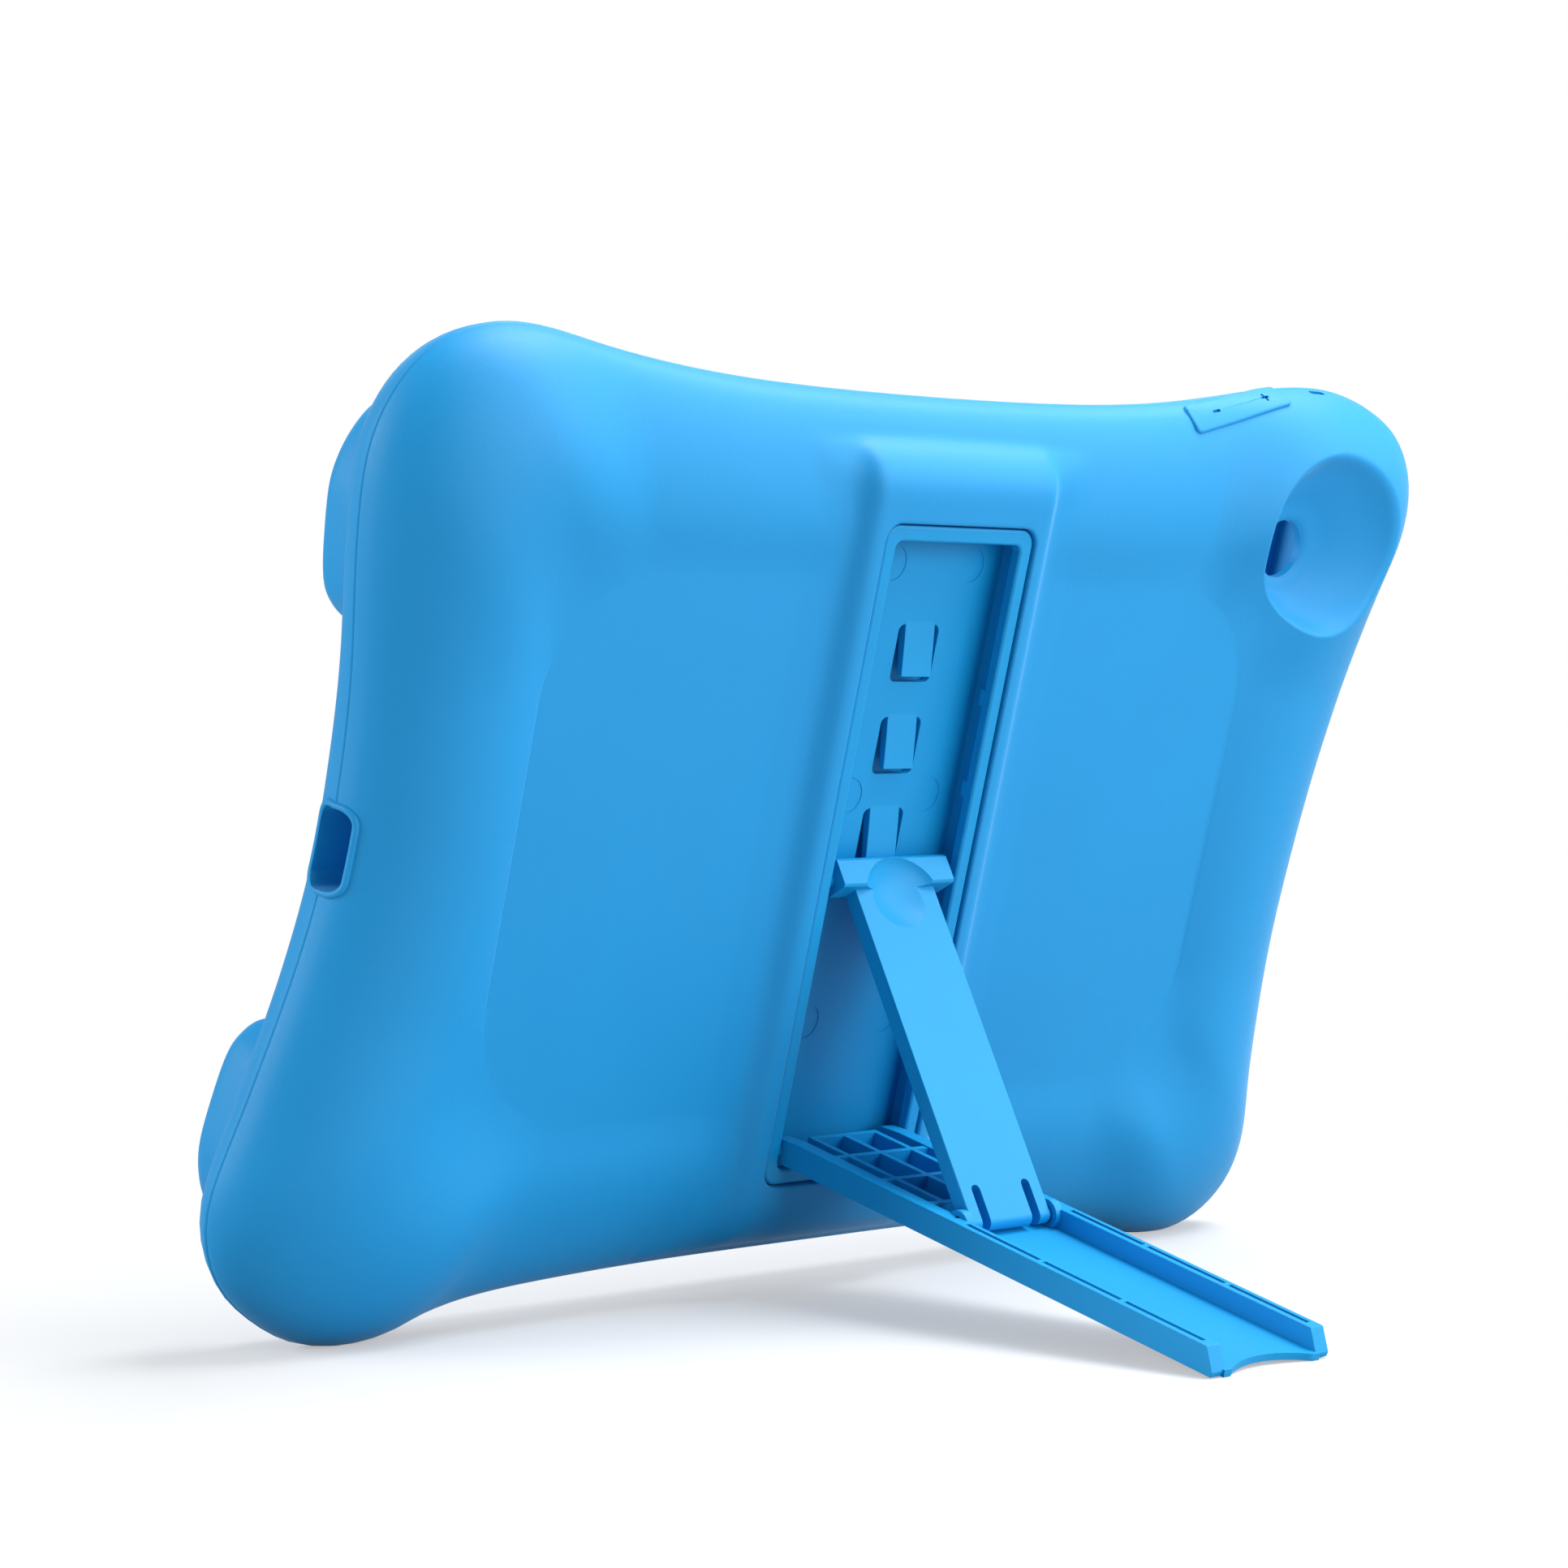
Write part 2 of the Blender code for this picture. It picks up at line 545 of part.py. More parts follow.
def lean_strut(thing):
    """Moves the strut's end to its pivot on the leg and turns its head into the tray's groove."""
    a = math.radians(REST_ANGLE)
    pivot_w = HINGE_W + STRUT_AT[0] * math.sin(a) - STRUT_AT[1] * math.cos(a)
    pivot_v = STRUT_AT[0] * math.cos(a) + STRUT_AT[1] * math.sin(a)
    fall = math.asin((pivot_w - GROOVE_LINE) / STRUT_LONG)
    thing.data.transform(Matrix.Translation((0, pivot_w, pivot_v)) @ Matrix.Rotation(fall, 4, "X"))
    return thing


def strut_end(radius, steps=8):
    """The round end about the pivot, from the inner face to the outer one."""
    return [
        (-radius * math.sin(a), -radius * math.cos(a))
        for a in [math.radians(25 + 155 * k / steps) for k in range(steps + 1)]
    ]


def stand_strut():
    side = [(STRUT_LONG, STRUT_IN)] + [(1.0, STRUT_IN)] + strut_end(1.6) + [(1.0, STRUT_OUT)]
    side += [(STRUT_LONG, STRUT_OUT)]
    strut = across("stand_strut", strut_side(side), -STRUT_HALF, STRUT_HALF)
    half = HEAD_LONG / 2
    head = [
        (STRUT_LONG - half, HEAD_OUT - 0.5), (STRUT_LONG - half + 0.5, HEAD_OUT),
        (STRUT_LONG + half - 0.6, HEAD_OUT), (STRUT_LONG + half, HEAD_OUT - 0.6),
        (STRUT_LONG + half, HEAD_IN + 1.1), (STRUT_LONG + half - 0.35, HEAD_IN + 0.35),
        (STRUT_LONG + half - 1.1, HEAD_IN), (STRUT_LONG - half, HEAD_IN),
    ]
    parts = [across("head", strut_side(head), -HEAD_HALF, HEAD_HALF)]
    for sign in (-1, 1):
        wing = strut_side(circle((STRUT_LONG, 0), 1.3, 20))
        parts.append(across("wing", wing, *sorted((sign * 12.8, sign * 14.5))))
        pin = strut_side(circle((0, 0), STRUT_PIN, 20))
        parts.append(across("strut_pin", pin, *sorted((sign * 8.6, sign * 11.8))))
    join(strut, *parts)
    for sign in (-1, 1):
        slot = [(sign * 6.0 + x, s) for x, s in rounded(1.0, (-4.0, 6.2), 0.98, 5)]
        loops = []
        for n in (STRUT_IN - 1, STRUT_OUT + 1):
            sides = strut_side([(s, n) for _, s in slot])
            loops.append([(x, w, v) for (x, _), (w, v) in zip(slot, sides)])
        cut(strut, loft("slot", loops))
    cut(strut, thumb_dish())
    return lean_strut(strut)


def thumb_dish():
    """The oval hollow for a thumb, across the head and the strut below it."""
    loops = []
    for k in range(1, 9):
        a = math.radians(10 + 80 * k / 9)
        loops.append((math.cos(a), math.sin(a)))
    rows = []
    for flat, deep in [(1.0, 0.0)] + loops:
        n = 4.9 - 4.3 * deep
        turns = [math.tau * k / 28 for k in range(28)]
        outline = [
            (9.2 * flat * math.cos(a), STRUT_LONG - 5.2 + 8.0 * flat * math.sin(a)) for a in turns
        ]
        sides = strut_side([(s, n) for _, s in outline])
        rows.append([(x, w, v) for (x, _), (w, v) in zip(outline, sides)])
    return loft("thumb_dish", rows)


def material(name, colour, roughness):
    finish = bpy.data.materials.new(name)
    finish.use_nodes = True
    shader = finish.node_tree.nodes["Principled BSDF"]
    shader.inputs["Base Color"].default_value = (*colour, 1)
    shader.inputs["Roughness"].default_value = roughness
    return finish


def stand_up(thing):
    """Leans the case's frame back, sets it on the floor and turns it to metres."""
    thing.data.transform(
        Matrix.Scale(0.001, 4)
        @ Matrix.Translation((SHIFT_X, SHIFT_Y, FRAME_HEIGHT))
        @ Matrix.Rotation(math.radians(-LEAN), 4, "X")
    )


def main():
    clear_scene()
    bpy.context.scene.unit_settings.scale_length = 1.0
    built = []
    for make, colour, roughness in (
        (case_shell, (0.045, 0.33, 0.72), 0.6), (stand_tray, (0.03, 0.36, 0.75), 0.4),
        (stand_leg, (0.03, 0.36, 0.75), 0.4), (stand_strut, (0.03, 0.36, 0.75), 0.4),
    ):
        thing = make()
        stand_up(thing)
        thing.data.materials.clear()
        thing.data.materials.append(material(thing.name + "_finish", colour, roughness))
        built.append(thing)
    floor_cut = block("floor_cut", (-0.5, 0.5), (-0.5, 0.5), (-1.0, 0.0))
    floor_cut.data.transform(Matrix.Diagonal(Vector((1.0, 1.0, 0.02, 1.0))))
    cut(built[0], floor_cut)


main()
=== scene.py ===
"""Looks of a shockproof tablet case: soft silicone shell, hard plastic tray with a folding leg and strut.

The shell is worked out in the case's own frame, in millimetres: x across, w out of the back and v up the
back from the leg's hinge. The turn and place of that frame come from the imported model's leg hinge.
"""

import json
import math

import bmesh
import bpy
import numpy as np
from mathutils import Matrix, Vector
from mathutils.bvhtree import BVHTree


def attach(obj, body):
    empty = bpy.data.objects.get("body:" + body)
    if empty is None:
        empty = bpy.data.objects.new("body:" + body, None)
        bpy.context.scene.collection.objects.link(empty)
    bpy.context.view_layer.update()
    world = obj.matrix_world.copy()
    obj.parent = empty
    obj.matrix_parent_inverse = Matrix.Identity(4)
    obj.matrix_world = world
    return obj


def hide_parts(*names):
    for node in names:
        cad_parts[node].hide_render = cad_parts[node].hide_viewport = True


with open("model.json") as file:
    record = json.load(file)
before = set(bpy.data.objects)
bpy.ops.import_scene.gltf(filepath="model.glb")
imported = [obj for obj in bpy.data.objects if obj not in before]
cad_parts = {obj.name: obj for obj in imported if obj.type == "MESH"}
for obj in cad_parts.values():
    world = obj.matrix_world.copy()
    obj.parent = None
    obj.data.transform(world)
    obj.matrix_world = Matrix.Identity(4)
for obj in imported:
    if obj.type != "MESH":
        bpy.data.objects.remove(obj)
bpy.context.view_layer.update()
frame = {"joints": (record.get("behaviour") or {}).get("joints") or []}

bl_info = {
    "name": "Shockproof tablet case",
    "version": (1, 0, 0),
    "blender": (4, 5, 0),
    "location": "View3D > Sidebar > Tablet case",
    "description": "Builds the silicone shell, the stand tray, the leg, the strut and a plain stage",
    "category": "Object",
}

MM = 0.001

# Case frame
LEAN = 15.05
HINGE_W = -2.26
HINGE = next(j for j in frame["joints"] if j["name"] == "leg_hinge")["pos_m"]

# Outline of the shell at its parting line, as points (u, v), u to the right seen from behind
OUTLINE = [
    (118.1, 48), (120.1, 68), (123.7, 88), (127.0, 106), (129.2, 116), (128.7, 125.0),
    (122.6, 132.8), (112.0, 137.0), (100.5, 138.6), (87.5, 137.9), (75.0, 136.0), (60.0, 133.9),
    (40.0, 132.3), (14.0, 131.6), (-14.0, 131.6), (-40.0, 132.3), (-60.0, 133.9), (-75.0, 136.0),
    (-86.0, 137.9), (-96.0, 138.2), (-105.0, 135.6), (-112.1, 129.8), (-116.3, 121.5), (-117.3, 112),
    (-115.9, 98), (-113.6, 82), (-112.6, 66), (-112.9, 50), (-115.3, 34), (-118.6, 20), (-121.8, 8),
    (-124.5, -3.5), (-123.2, -12.5), (-118.9, -19.5), (-112.3, -25.0), (-104.5, -29.2), (-96.5, -30.6),
    (-89.0, -29.8), (-82.5, -27.6), (-72.0, -25.3), (-56.0, -23.9), (-30.0, -23.0), (0.0, -22.8),
    (30.0, -22.8), (56.0, -23.2), (72.0, -24.4), (83.0, -26.8), (91.5, -29.6), (101.5, -31.0),
    (111.5, -29.0), (119.0, -22.8), (121.6, -13.0), (119.8, 0), (118.4, 15), (117.6, 31),
]
CENTRE_V = 54.9
PANEL_HALF = (84.0, 47.0, 22.0)
GRID_HALF = (74.0, 37.0)
TABLET_HALF, SCREEN_HALF = (101.8, 67.6), (97.8, 63.6)
POCKET_BACK, POCKET_FRONT = -8.9, -16.2
CAMERA_CORNER = 1.6

# Back of the bumper: distance in from the outline, height, and extra height at the corners and the ends
BACK_PROFILE = [
    (0.0, -12.9, 0.1, 0.1), (0.4, -10.7, 0.5, 0.5), (1.6, -8.2, 1.5, 1.2), (3.7, -6.0, 2.6, 1.9),
    (6.4, -4.4, 3.4, 2.3), (9.8, -3.3, 3.6, 2.3), (14.0, -2.9, 3.0, 2.0), (19.0, -3.2, 1.6, 1.4),
    (24.0, -3.45, 0.5, 0.6), (29.0, -3.5, 0.0, 0.0),
]
FRONT_PROFILE = [
    (0.0, -14.5), (0.035, -16.6), (0.12, -19.3), (0.26, -21.5), (0.42, -22.7), (0.58, -23.0),
    (0.74, -22.2), (0.88, -20.3), (1.0, -18.4),
]
SEAM = -13.7

# Plateau: half width and height along the back against the depth under its top face
PLATEAU_SIDE = [
    (19.4, 0.0), (20.6, 0.2), (21.8, 0.85), (23.2, 1.95), (24.8, 2.8), (26.6, 3.3), (28.6, 3.6),
    (31.0, 4.1), (34.0, 5.2), (37.0, 7.0),
]
PLATEAU_TOP = [
    (116.2, 0.0), (118.7, 0.25), (121.0, 1.1), (123.0, 2.6), (124.6, 4.6), (125.8, 7.5), (127.4, 14.0),
    (136, 60.0),
]
PLATEAU_FOOT = [
    (8.6, 0.0), (11.0, 0.3), (13.8, 1.3), (16.2, 3.0), (18.2, 5.3), (19.6, 7.5), (21.4, 14.0), (30.0, 60.0),
]
PLATEAU_DEEP = 7.5

# Camera funnel: height, radius, centre and stretch along the back
FUNNEL = [
    (-9.8, 5.4, 92.5, 109.0, 1.0), (-7.6, 5.6, 92.7, 109.1, 1.0), (-6.6, 8.0, 93.2, 109.5, 1.0),
    (-5.2, 11.0, 94.4, 110.2, 0.97), (-3.5, 14.2, 96.0, 111.0, 0.94), (-1.0, 17.4, 98.0, 111.9, 0.92),
    (2.0, 20.0, 99.6, 112.5, 0.91), (6.0, 22.6, 101.3, 113.0, 0.9), (12.0, 26.0, 104.0, 114.0, 0.9),
]
FUNNEL_FLOOR = -7.6

# Stand tray
TRAY_HALF, TRAY_V = 17.85, (-5.86, 111.94)
RIM_TOP, RIM_WIDTH, RIM_UNDER = -0.5, 2.8, -2.6
FLOOR_TOP, FLOOR_UNDER, BACK_WALL = -6.3, -7.7, -8.0
GROOVE_HALF, GROOVE_V = 16.9, (-4.9, 111.0)
FLANGE_HALF, FLANGE_V = 26.0, (-14.0, 120.0)
FIT = 0.3
TAB_FREE_ENDS = (51.55, 68.0, 84.5)
TAB_HALF, TAB_LONG, TAB_RISE, TAB_THICK = 3.55, 8.5, 1.4, 1.25
WINDOW_HALF, WINDOW_BELOW, WINDOW_ABOVE = 4.8, 1.2, 0.4
MARK_U, MARK_V = 9.4, (104.2, 63.0, 22.0)
DETENT_U, DETENT_V, DETENT_HALF = 15.57, (64.9, 81.4), 1.4

# Stand leg and strut
LEG_SLOPE = 13.72
REST_ANGLE = 90.0 - LEAN + LEG_SLOPE
LEG_HALF, RAIL_WIDE = 14.25, 3.2
LEG_TOP, LEG_UNDER, WEB_TOP = 2.49, -2.19, -0.99
LEG_LONG, RAIL_LONG = 102.9, 100.5
HINGE_PIN, HINGE_HOLE = 1.1, 1.4
STRUT_AT = (42.2, 0.95)
STRUT_LONG, GROOVE_LINE = 63.73, -3.2
STRUT_HALF, STRUT_OUT, STRUT_IN = 9.48, 1.6, -1.4
HEAD_HALF, HEAD_LONG, HEAD_OUT, HEAD_IN = 13.3, 5.5, 3.4, -1.5
STRUT_PIN, STRUT_HOLE = 1.3, 1.6
RIB_ROWS, RIB_COLUMNS, RIB_THICK, RIB_END = (1.0, 10.5, 22.3, 34.1), (-7.6, 0.0, 7.6), 1.2, 34.8
POCKET_SPANS, POCKET_U = ((45.4, 62.3), (63.3, 80.6), (81.6, 98.6)), 12.65

# Places on the bumper
PORT_V, PORT_W, PORT_ROUND = (47.6, 60.8), (-17.2, -9.6), 2.6
HUMPS = ((113.8, 105.5, 0.0, 1), (118.5, 4.2, 4.0, -1))
HUMP_HALF, HUMP_LONG = 8.0, 18.0
HUMP_EDGE = [
    (8.0, 1.9), (7.8, 5.7), (6.7, 9.6), (4.6, 13.6), (1.4, 17.2), (-2.0, 18.0), (-5.5, 17.3), (-7.6, 13.5),
    (-8.0, 5.0), (-8.0, -5.0), (-7.6, -13.5), (-5.5, -17.3), (-2.0, -18.0), (1.5, -17.4), (4.0, -15.5),
    (6.2, -11.7), (7.5, -3.9),
]
PAD_AT, PAD_TILT, PAD_TURN = (-74.9, -10.3, 134.6), 53.0, 11.0
PAD_HALF, PAD_PARTS, MARK_DEEP = (13.3, 3.0), 30, 1.2
MICROPHONE_AT, MICROPHONE_TILT = (-98.7, -11.8, 138.3), 76.0


def length(name, description, millimetres, low=0.0001):
    """A length setting, given in millimetres and kept in metres."""
    return bpy.props.FloatProperty(
        name=name, description=description, default=millimetres * MM, min=low,
        subtype="DISTANCE", unit="LENGTH", precision=5,
    )


class TabletCaseShell(bpy.types.PropertyGroup):
    ridge: length(
        "Parting ridge", "How far the parting line stands out of the bumper", 0.22, low=0.0
    )
    blend: length("Plateau blend", "How softly the plateau runs into the back", 1.1)
    funnel_blend: length("Funnel blend", "How softly the camera funnel runs into the corner", 1.6)
    rim_round: length("Opening rounding", "Rounding of the silicone round the stand tray", 0.5)
    port_lip: length("Port lip", "Radius of the bead round the charging port", 0.6)
    pad_rise: length("Pad height", "How far the volume pad stands out of the top edge", 0.6)


class TabletCaseStand(bpy.types.PropertyGroup):
    edge: length("Edge rounding", "Rounding of the moulded plastic's edges", 0.18, low=0.0)
    edge_angle: bpy.props.FloatProperty(
        name="Edge angle", description="Edges that turn more than this are rounded",
        default=math.radians(32), subtype="ANGLE", unit="ROTATION",
    )
    mark_radius: length(
        "Ejector mark", "Radius of the round marks on the tray's floor", 3.2, low=0.0005
    )


class TabletCaseFinish(bpy.types.PropertyGroup):
    silicone: bpy.props.FloatVectorProperty(
        name="Silicone colour", description="Colour of the soft shell", subtype="COLOR", size=3,
        default=(0.002, 0.27, 0.61), min=0.0, max=1.0,
    )
    silicone_rough: bpy.props.FloatProperty(
        name="Silicone roughness", description="Roughness of the soft shell", default=0.55, min=0.0,
        max=1.0, subtype="FACTOR",
    )
    plastic: bpy.props.FloatVectorProperty(
        name="Plastic colour", description="Colour of the stand", subtype="COLOR", size=3,
        default=(0.002, 0.275, 0.6), min=0.0, max=1.0,
    )
    plastic_rough: bpy.props.FloatProperty(
        name="Plastic roughness", description="Roughness of the stand", default=0.46, min=0.0,
        max=1.0, subtype="FACTOR",
    )
    grain: bpy.props.FloatProperty(
        name="Grain height", description="Height of the fine grain of both finishes",
        default=0.02 * MM, min=0.0, subtype="DISTANCE", unit="LENGTH", precision=6,
    )


class TabletCaseStage(bpy.types.PropertyGroup):
    lens: bpy.props.FloatProperty(
        name="Lens", description="Focal length of the camera", default=87.58, subtype="DISTANCE_CAMERA",
    )
    floor: bpy.props.FloatVectorProperty(
        name="Floor colour", description="Colour of the floor", subtype="COLOR", size=3,
        default=(0.40, 0.405, 0.41), min=0.0, max=1.0,
    )
    world: bpy.props.FloatProperty(
        name="Surrounding light", description="Strength of the even light from all round",
        default=0.37, min=0.0,
    )


def settings(name):
    return getattr(bpy.context.scene, "tablet_case_" + name)


def case_matrix():
    """From the case's frame (x, w, v) in millimetres to the world in metres."""
    turn = Matrix.Rotation(math.radians(-LEAN), 4, "X")
    origin = Vector(HINGE) - (turn @ Vector((0, HINGE_W, 0))) * MM
    return Matrix.Translation(origin) @ turn @ Matrix.Scale(MM, 4)


def mesh_object(name, points, faces):
    mesh = bpy.data.meshes.new(name)
    mesh.from_pydata([tuple(float(c) for c in p) for p in points], [], faces)
    shape = bmesh.new()
    shape.from_mesh(mesh)
    bmesh.ops.recalc_face_normals(shape, faces=shape.faces)
    if shape.calc_volume(signed=True) < 0:
        bmesh.ops.reverse_faces(shape, faces=shape.faces)
    shape.to_mesh(mesh)
    shape.free()
    thing = bpy.data.objects.new(name, mesh)
    bpy.context.scene.collection.objects.link(thing)
    return thing


def loft(name, loops):
    """A closed solid through loops of as many points each."""
    count = len(loops[0])
    points = [p for loop in loops for p in loop]
    faces = [tuple(range(count)), tuple(range((len(loops) - 1) * count, len(loops) * count))]
    for row in range(len(loops) - 1):
        for i in range(count):
            j = (i + 1) % count
            a, b = row * count, (row + 1) * count
            faces.append((a + i, a + j, b + j, b + i))
    return mesh_object(name, points, faces)


def applied(thing):
    """Turns the object's modifiers into its plain mesh."""
    graph = bpy.context.evaluated_depsgraph_get()
    mesh = bpy.data.meshes.new_from_object(thing.evaluated_get(graph))
    thing.modifiers.clear()
    old, thing.data = thing.data, mesh
    bpy.data.meshes.remove(old)
    return thing


def combine(target, operation, others):
    for other in others:
        step = target.modifiers.new(other.name, "BOOLEAN")
        step.operation = operation
        step.solver = "EXACT"
        step.object = other
        applied(target)
        bpy.data.objects.remove(other, do_unlink=True)
    return target


def join(target, *others):
    return combine(target, "UNION", others)


def cut(target, *others):
    return combine(target, "DIFFERENCE", others)


def rounded(half_x, v_range, radius, steps=8):
    """Corner points (x, v) of a rectangle with round corners."""
    low, high = v_range
    points = []
    for cx, cv, start in (
        (half_x - radius, high - radius, 0), (radius - half_x, high - radius, 90),
        (radius - half_x, low + radius, 180), (half_x - radius, low + radius, 270),
    ):
        for k in range(steps + 1):
            a = math.radians(start + 90 * k / steps)
            points.append((cx + radius * math.cos(a), cv + radius * math.sin(a)))
    return points


def plate(name, outline, w_low, w_high):
    return loft(name, [[(x, w, v) for x, v in outline] for w in (w_low, w_high)])


def block(name, x, w, v):
    return plate(name, [(x[0], v[0]), (x[1], v[0]), (x[1], v[1]), (x[0], v[1])], *w)


def placed(thing, x, w, v, turn_about_x):
    turn = Matrix.Rotation(math.radians(turn_about_x), 4, "X")
    thing.data.transform(Matrix.Translation((x, w, v)) @ turn)
    return thing


def natural_curve(points, count):
    """A smooth open curve through the points, as count points spread evenly along its chords."""
    p = np.array(points, float)
    n = len(p)
    t = np.concatenate([[0], np.cumsum(np.linalg.norm(np.diff(p[:, :2], axis=0), axis=1))])
    h = np.diff(t)
    system = np.zeros((n, n))
    right = np.zeros_like(p)
    for i in range(1, n - 1):
        system[i, i - 1:i + 2] = h[i], 2 * (h[i - 1] + h[i]), h[i - 1]
        right[i] = 3 * (h[i] * (p[i] - p[i - 1]) / h[i - 1] + h[i - 1] * (p[i + 1] - p[i]) / h[i])
    system[0, :2] = 2, 1
    right[0] = 3 * (p[1] - p[0]) / h[0]
    system[-1, -2:] = 1, 2
    right[-1] = 3 * (p[-1] - p[-2]) / h[-1]
    slope = np.linalg.solve(system, right)
    at = np.linspace(0, t[-1], count)
    i = np.clip(np.searchsorted(t, at, side="right") - 1, 0, n - 2)
    s = ((at - t[i]) / h[i])[:, None]
    step = h[i][:, None]
    return (
        p[i] * (1 + 2 * s) * (1 - s) ** 2 + slope[i] * step * s * (1 - s) ** 2
        + p[i + 1] * s * s * (3 - 2 * s) - slope[i + 1] * step * s * s * (1 - s)
    )


def depth_along(table, at):
    """The depth that a table of (place, depth) gives, read from its smooth curve."""
    curve = natural_curve(table, 200)
    return np.interp(at, curve[:, 0], curve[:, 1])


class Outline:
    """The shell's outline as a closed smooth curve."""

    def __init__(self, points):
        self.points = np.array(points, float)
        n = len(self.points)
        system = 4 * np.eye(n) + np.roll(np.eye(n), 1, axis=1) + np.roll(np.eye(n), -1, axis=1)
        around = np.roll(self.points, -1, axis=0) - np.roll(self.points, 1, axis=0)
        self.slope = np.linalg.solve(system, 3 * around)
        self.turns = np.arange(0, n * 40 + 1) / 40
        self.dense = self.at(self.turns)
        self.length = np.concatenate([[0], np.cumsum(np.linalg.norm(np.diff(self.dense, axis=0), axis=1))])

    def at(self, turns):
        n = len(self.points)
        i = np.floor(turns).astype(int)
        t = (turns - i)[:, None]
        i = i % n
        j = (i + 1) % n
        return (
            self.points[i] * (1 + 2 * t) * (1 - t) ** 2 + self.slope[i] * t * (1 - t) ** 2
            + self.points[j] * t * t * (3 - 2 * t) - self.slope[j] * t * t * (1 - t)
        )

    def outward(self, turns):
        ahead = self.at(turns + 0.05) - self.at(turns - 0.05)
        out = np.stack([ahead[:, 1], -ahead[:, 0]], 1)
        return out / np.linalg.norm(out, axis=1)[:, None]

    def stops(self, border, straight_u, straight_v):
        """Where the grid's border meets the outline: straight across from the grid's sides, evenly round
        the corners. border runs once round from the bottom left, counter-clockwise."""
        n = len(self.points)
        places = np.full(len(border), np.nan)
        laps = self.turns[:-1]
        at = self.dense[:-1]
        for axis, side, lap in ((0, -1, 0), (1, 1, 1), (0, 1, 1), (1, -1, 1)):
            middle = (0, CENTRE_V)
            other = 1 - axis
            near = abs(at[:, axis] - middle[axis]) < (75 if axis == 0 else 40)
            near &= (at[:, other] - middle[other]) * side > (40 if axis == 0 else 90)
            turns = laps[near] - n * (laps[near] > n - 6) * (axis == 1 and side == 1)
            order = np.argsort(at[near, axis])
            limit = straight_u if axis == 0 else straight_v
            edge = abs((border[:, other] - middle[other]) - side * GRID_HALF[other]) < 1e-6
            mine = edge & (abs(border[:, axis] - middle[axis]) <= limit)
            found = np.interp(border[mine, axis], at[near, axis][order], turns[order])
            places[mine] = np.interp(found + lap * n, np.concatenate([self.turns, self.turns[1:] + n]),
                                     np.concatenate([self.length, self.length[1:] + self.length[-1]]))
        known = np.flatnonzero(~np.isnan(places))
        first = places[known[0]]
        index = np.concatenate([known, [known[0] + len(border)]])
        value = np.concatenate([places[known], [first + self.length[-1]]])
        k = np.arange(len(border))
        k = np.where(k < known[0], k + len(border), k)
        places = np.interp(k, index, value)
        return np.interp(places % self.length[-1], self.length, self.turns)


def nearest_on(points, half_x, half_v, radius):
    """For each outer point, the closest point of a rounded rectangle about the case's centre."""
    rel = points - (0, CENTRE_V)
    inner = np.clip(rel, (radius - half_x, radius - half_v), (half_x - radius, half_v - radius))
    away = rel - inner
    return inner + radius * away / np.linalg.norm(away, axis=1)[:, None] + (0, CENTRE_V)


def eased(share):
    share = np.clip(share, 0, 1)
    return share * share * (3 - 2 * share)


def corner_share(points):
    """How far each point of the outline belongs to a corner, and to the middle of a short end."""
    ends = eased((abs(points[:, 0]) - 70) / 34)
    along = eased((abs(points[:, 1] - CENTRE_V) - 26) / 40)
    camera = (points[:, 0] > 0) & (points[:, 1] > CENTRE_V)
    return ends * along * np.where(camera, CAMERA_CORNER, 1.0), ends * (1 - along)


def soft_max(a, b, reach):
    share = np.clip(0.5 + 0.5 * (a - b) / reach, 0, 1)
    return b * (1 - share) + a * share + reach * share * (1 - share)


def plateau_height(points):
    u, v = abs(points[:, 0]), points[:, 1]
    side = depth_along(PLATEAU_SIDE, u) * (u > PLATEAU_SIDE[0][0])
    top = depth_along(PLATEAU_TOP, v) * (v > PLATEAU_TOP[0][0])
    foot = depth_along(PLATEAU_FOOT, -v) * (-v > PLATEAU_FOOT[0][0])
    end = top + foot
    both = np.where(end < PLATEAU_DEEP, side + end - side * end / PLATEAU_DEEP, end)
    return np.where(u > PLATEAU_SIDE[-1][0], -20.0, -both)


def funnel_height(points):
    rows = natural_curve([(w, r, u, v, tall) for w, r, u, v, tall in FUNNEL], 120)
    found = np.full(len(points), 30.0)
    close = np.flatnonzero(np.hypot(points[:, 0] - 100, points[:, 1] - 111) < 34)
    part = points[close]
    reach = np.hypot(
        (part[:, :1] - rows[None, :, 2]) / rows[None, :, 1],
        (part[:, 1:] - rows[None, :, 3]) / (rows[None, :, 1] * rows[None, :, 4]),
    )
    inside = reach <= 1
    first = np.where(inside.any(1), inside.argmax(1), len(rows) - 1)
    before = np.maximum(first - 1, 0)
    row = np.arange(len(part))
    high, low = reach[row, before], reach[row, first]
    share = np.where(high > low, (high - 1) / np.maximum(high - low, 1e-9), 0)
    share = np.clip(share, 0, 1)
    w = rows[before, 0] * (1 - share) + rows[first, 0] * share
    found[close] = np.where(inside.any(1), np.maximum(w, FUNNEL_FLOOR), 30.0)
    return found


def spaced(spans):
    """Half of a symmetric set of lines, from spans (from, to, step), mirrored to the other half."""
    half = [0.0]
    for low, high, step in spans:
        count = max(1, round((high - low) / step))
        half += [low + (high - low) * (k + 1) / count for k in range(count)]
    return np.array([-x for x in reversed(half[1:])] + half)


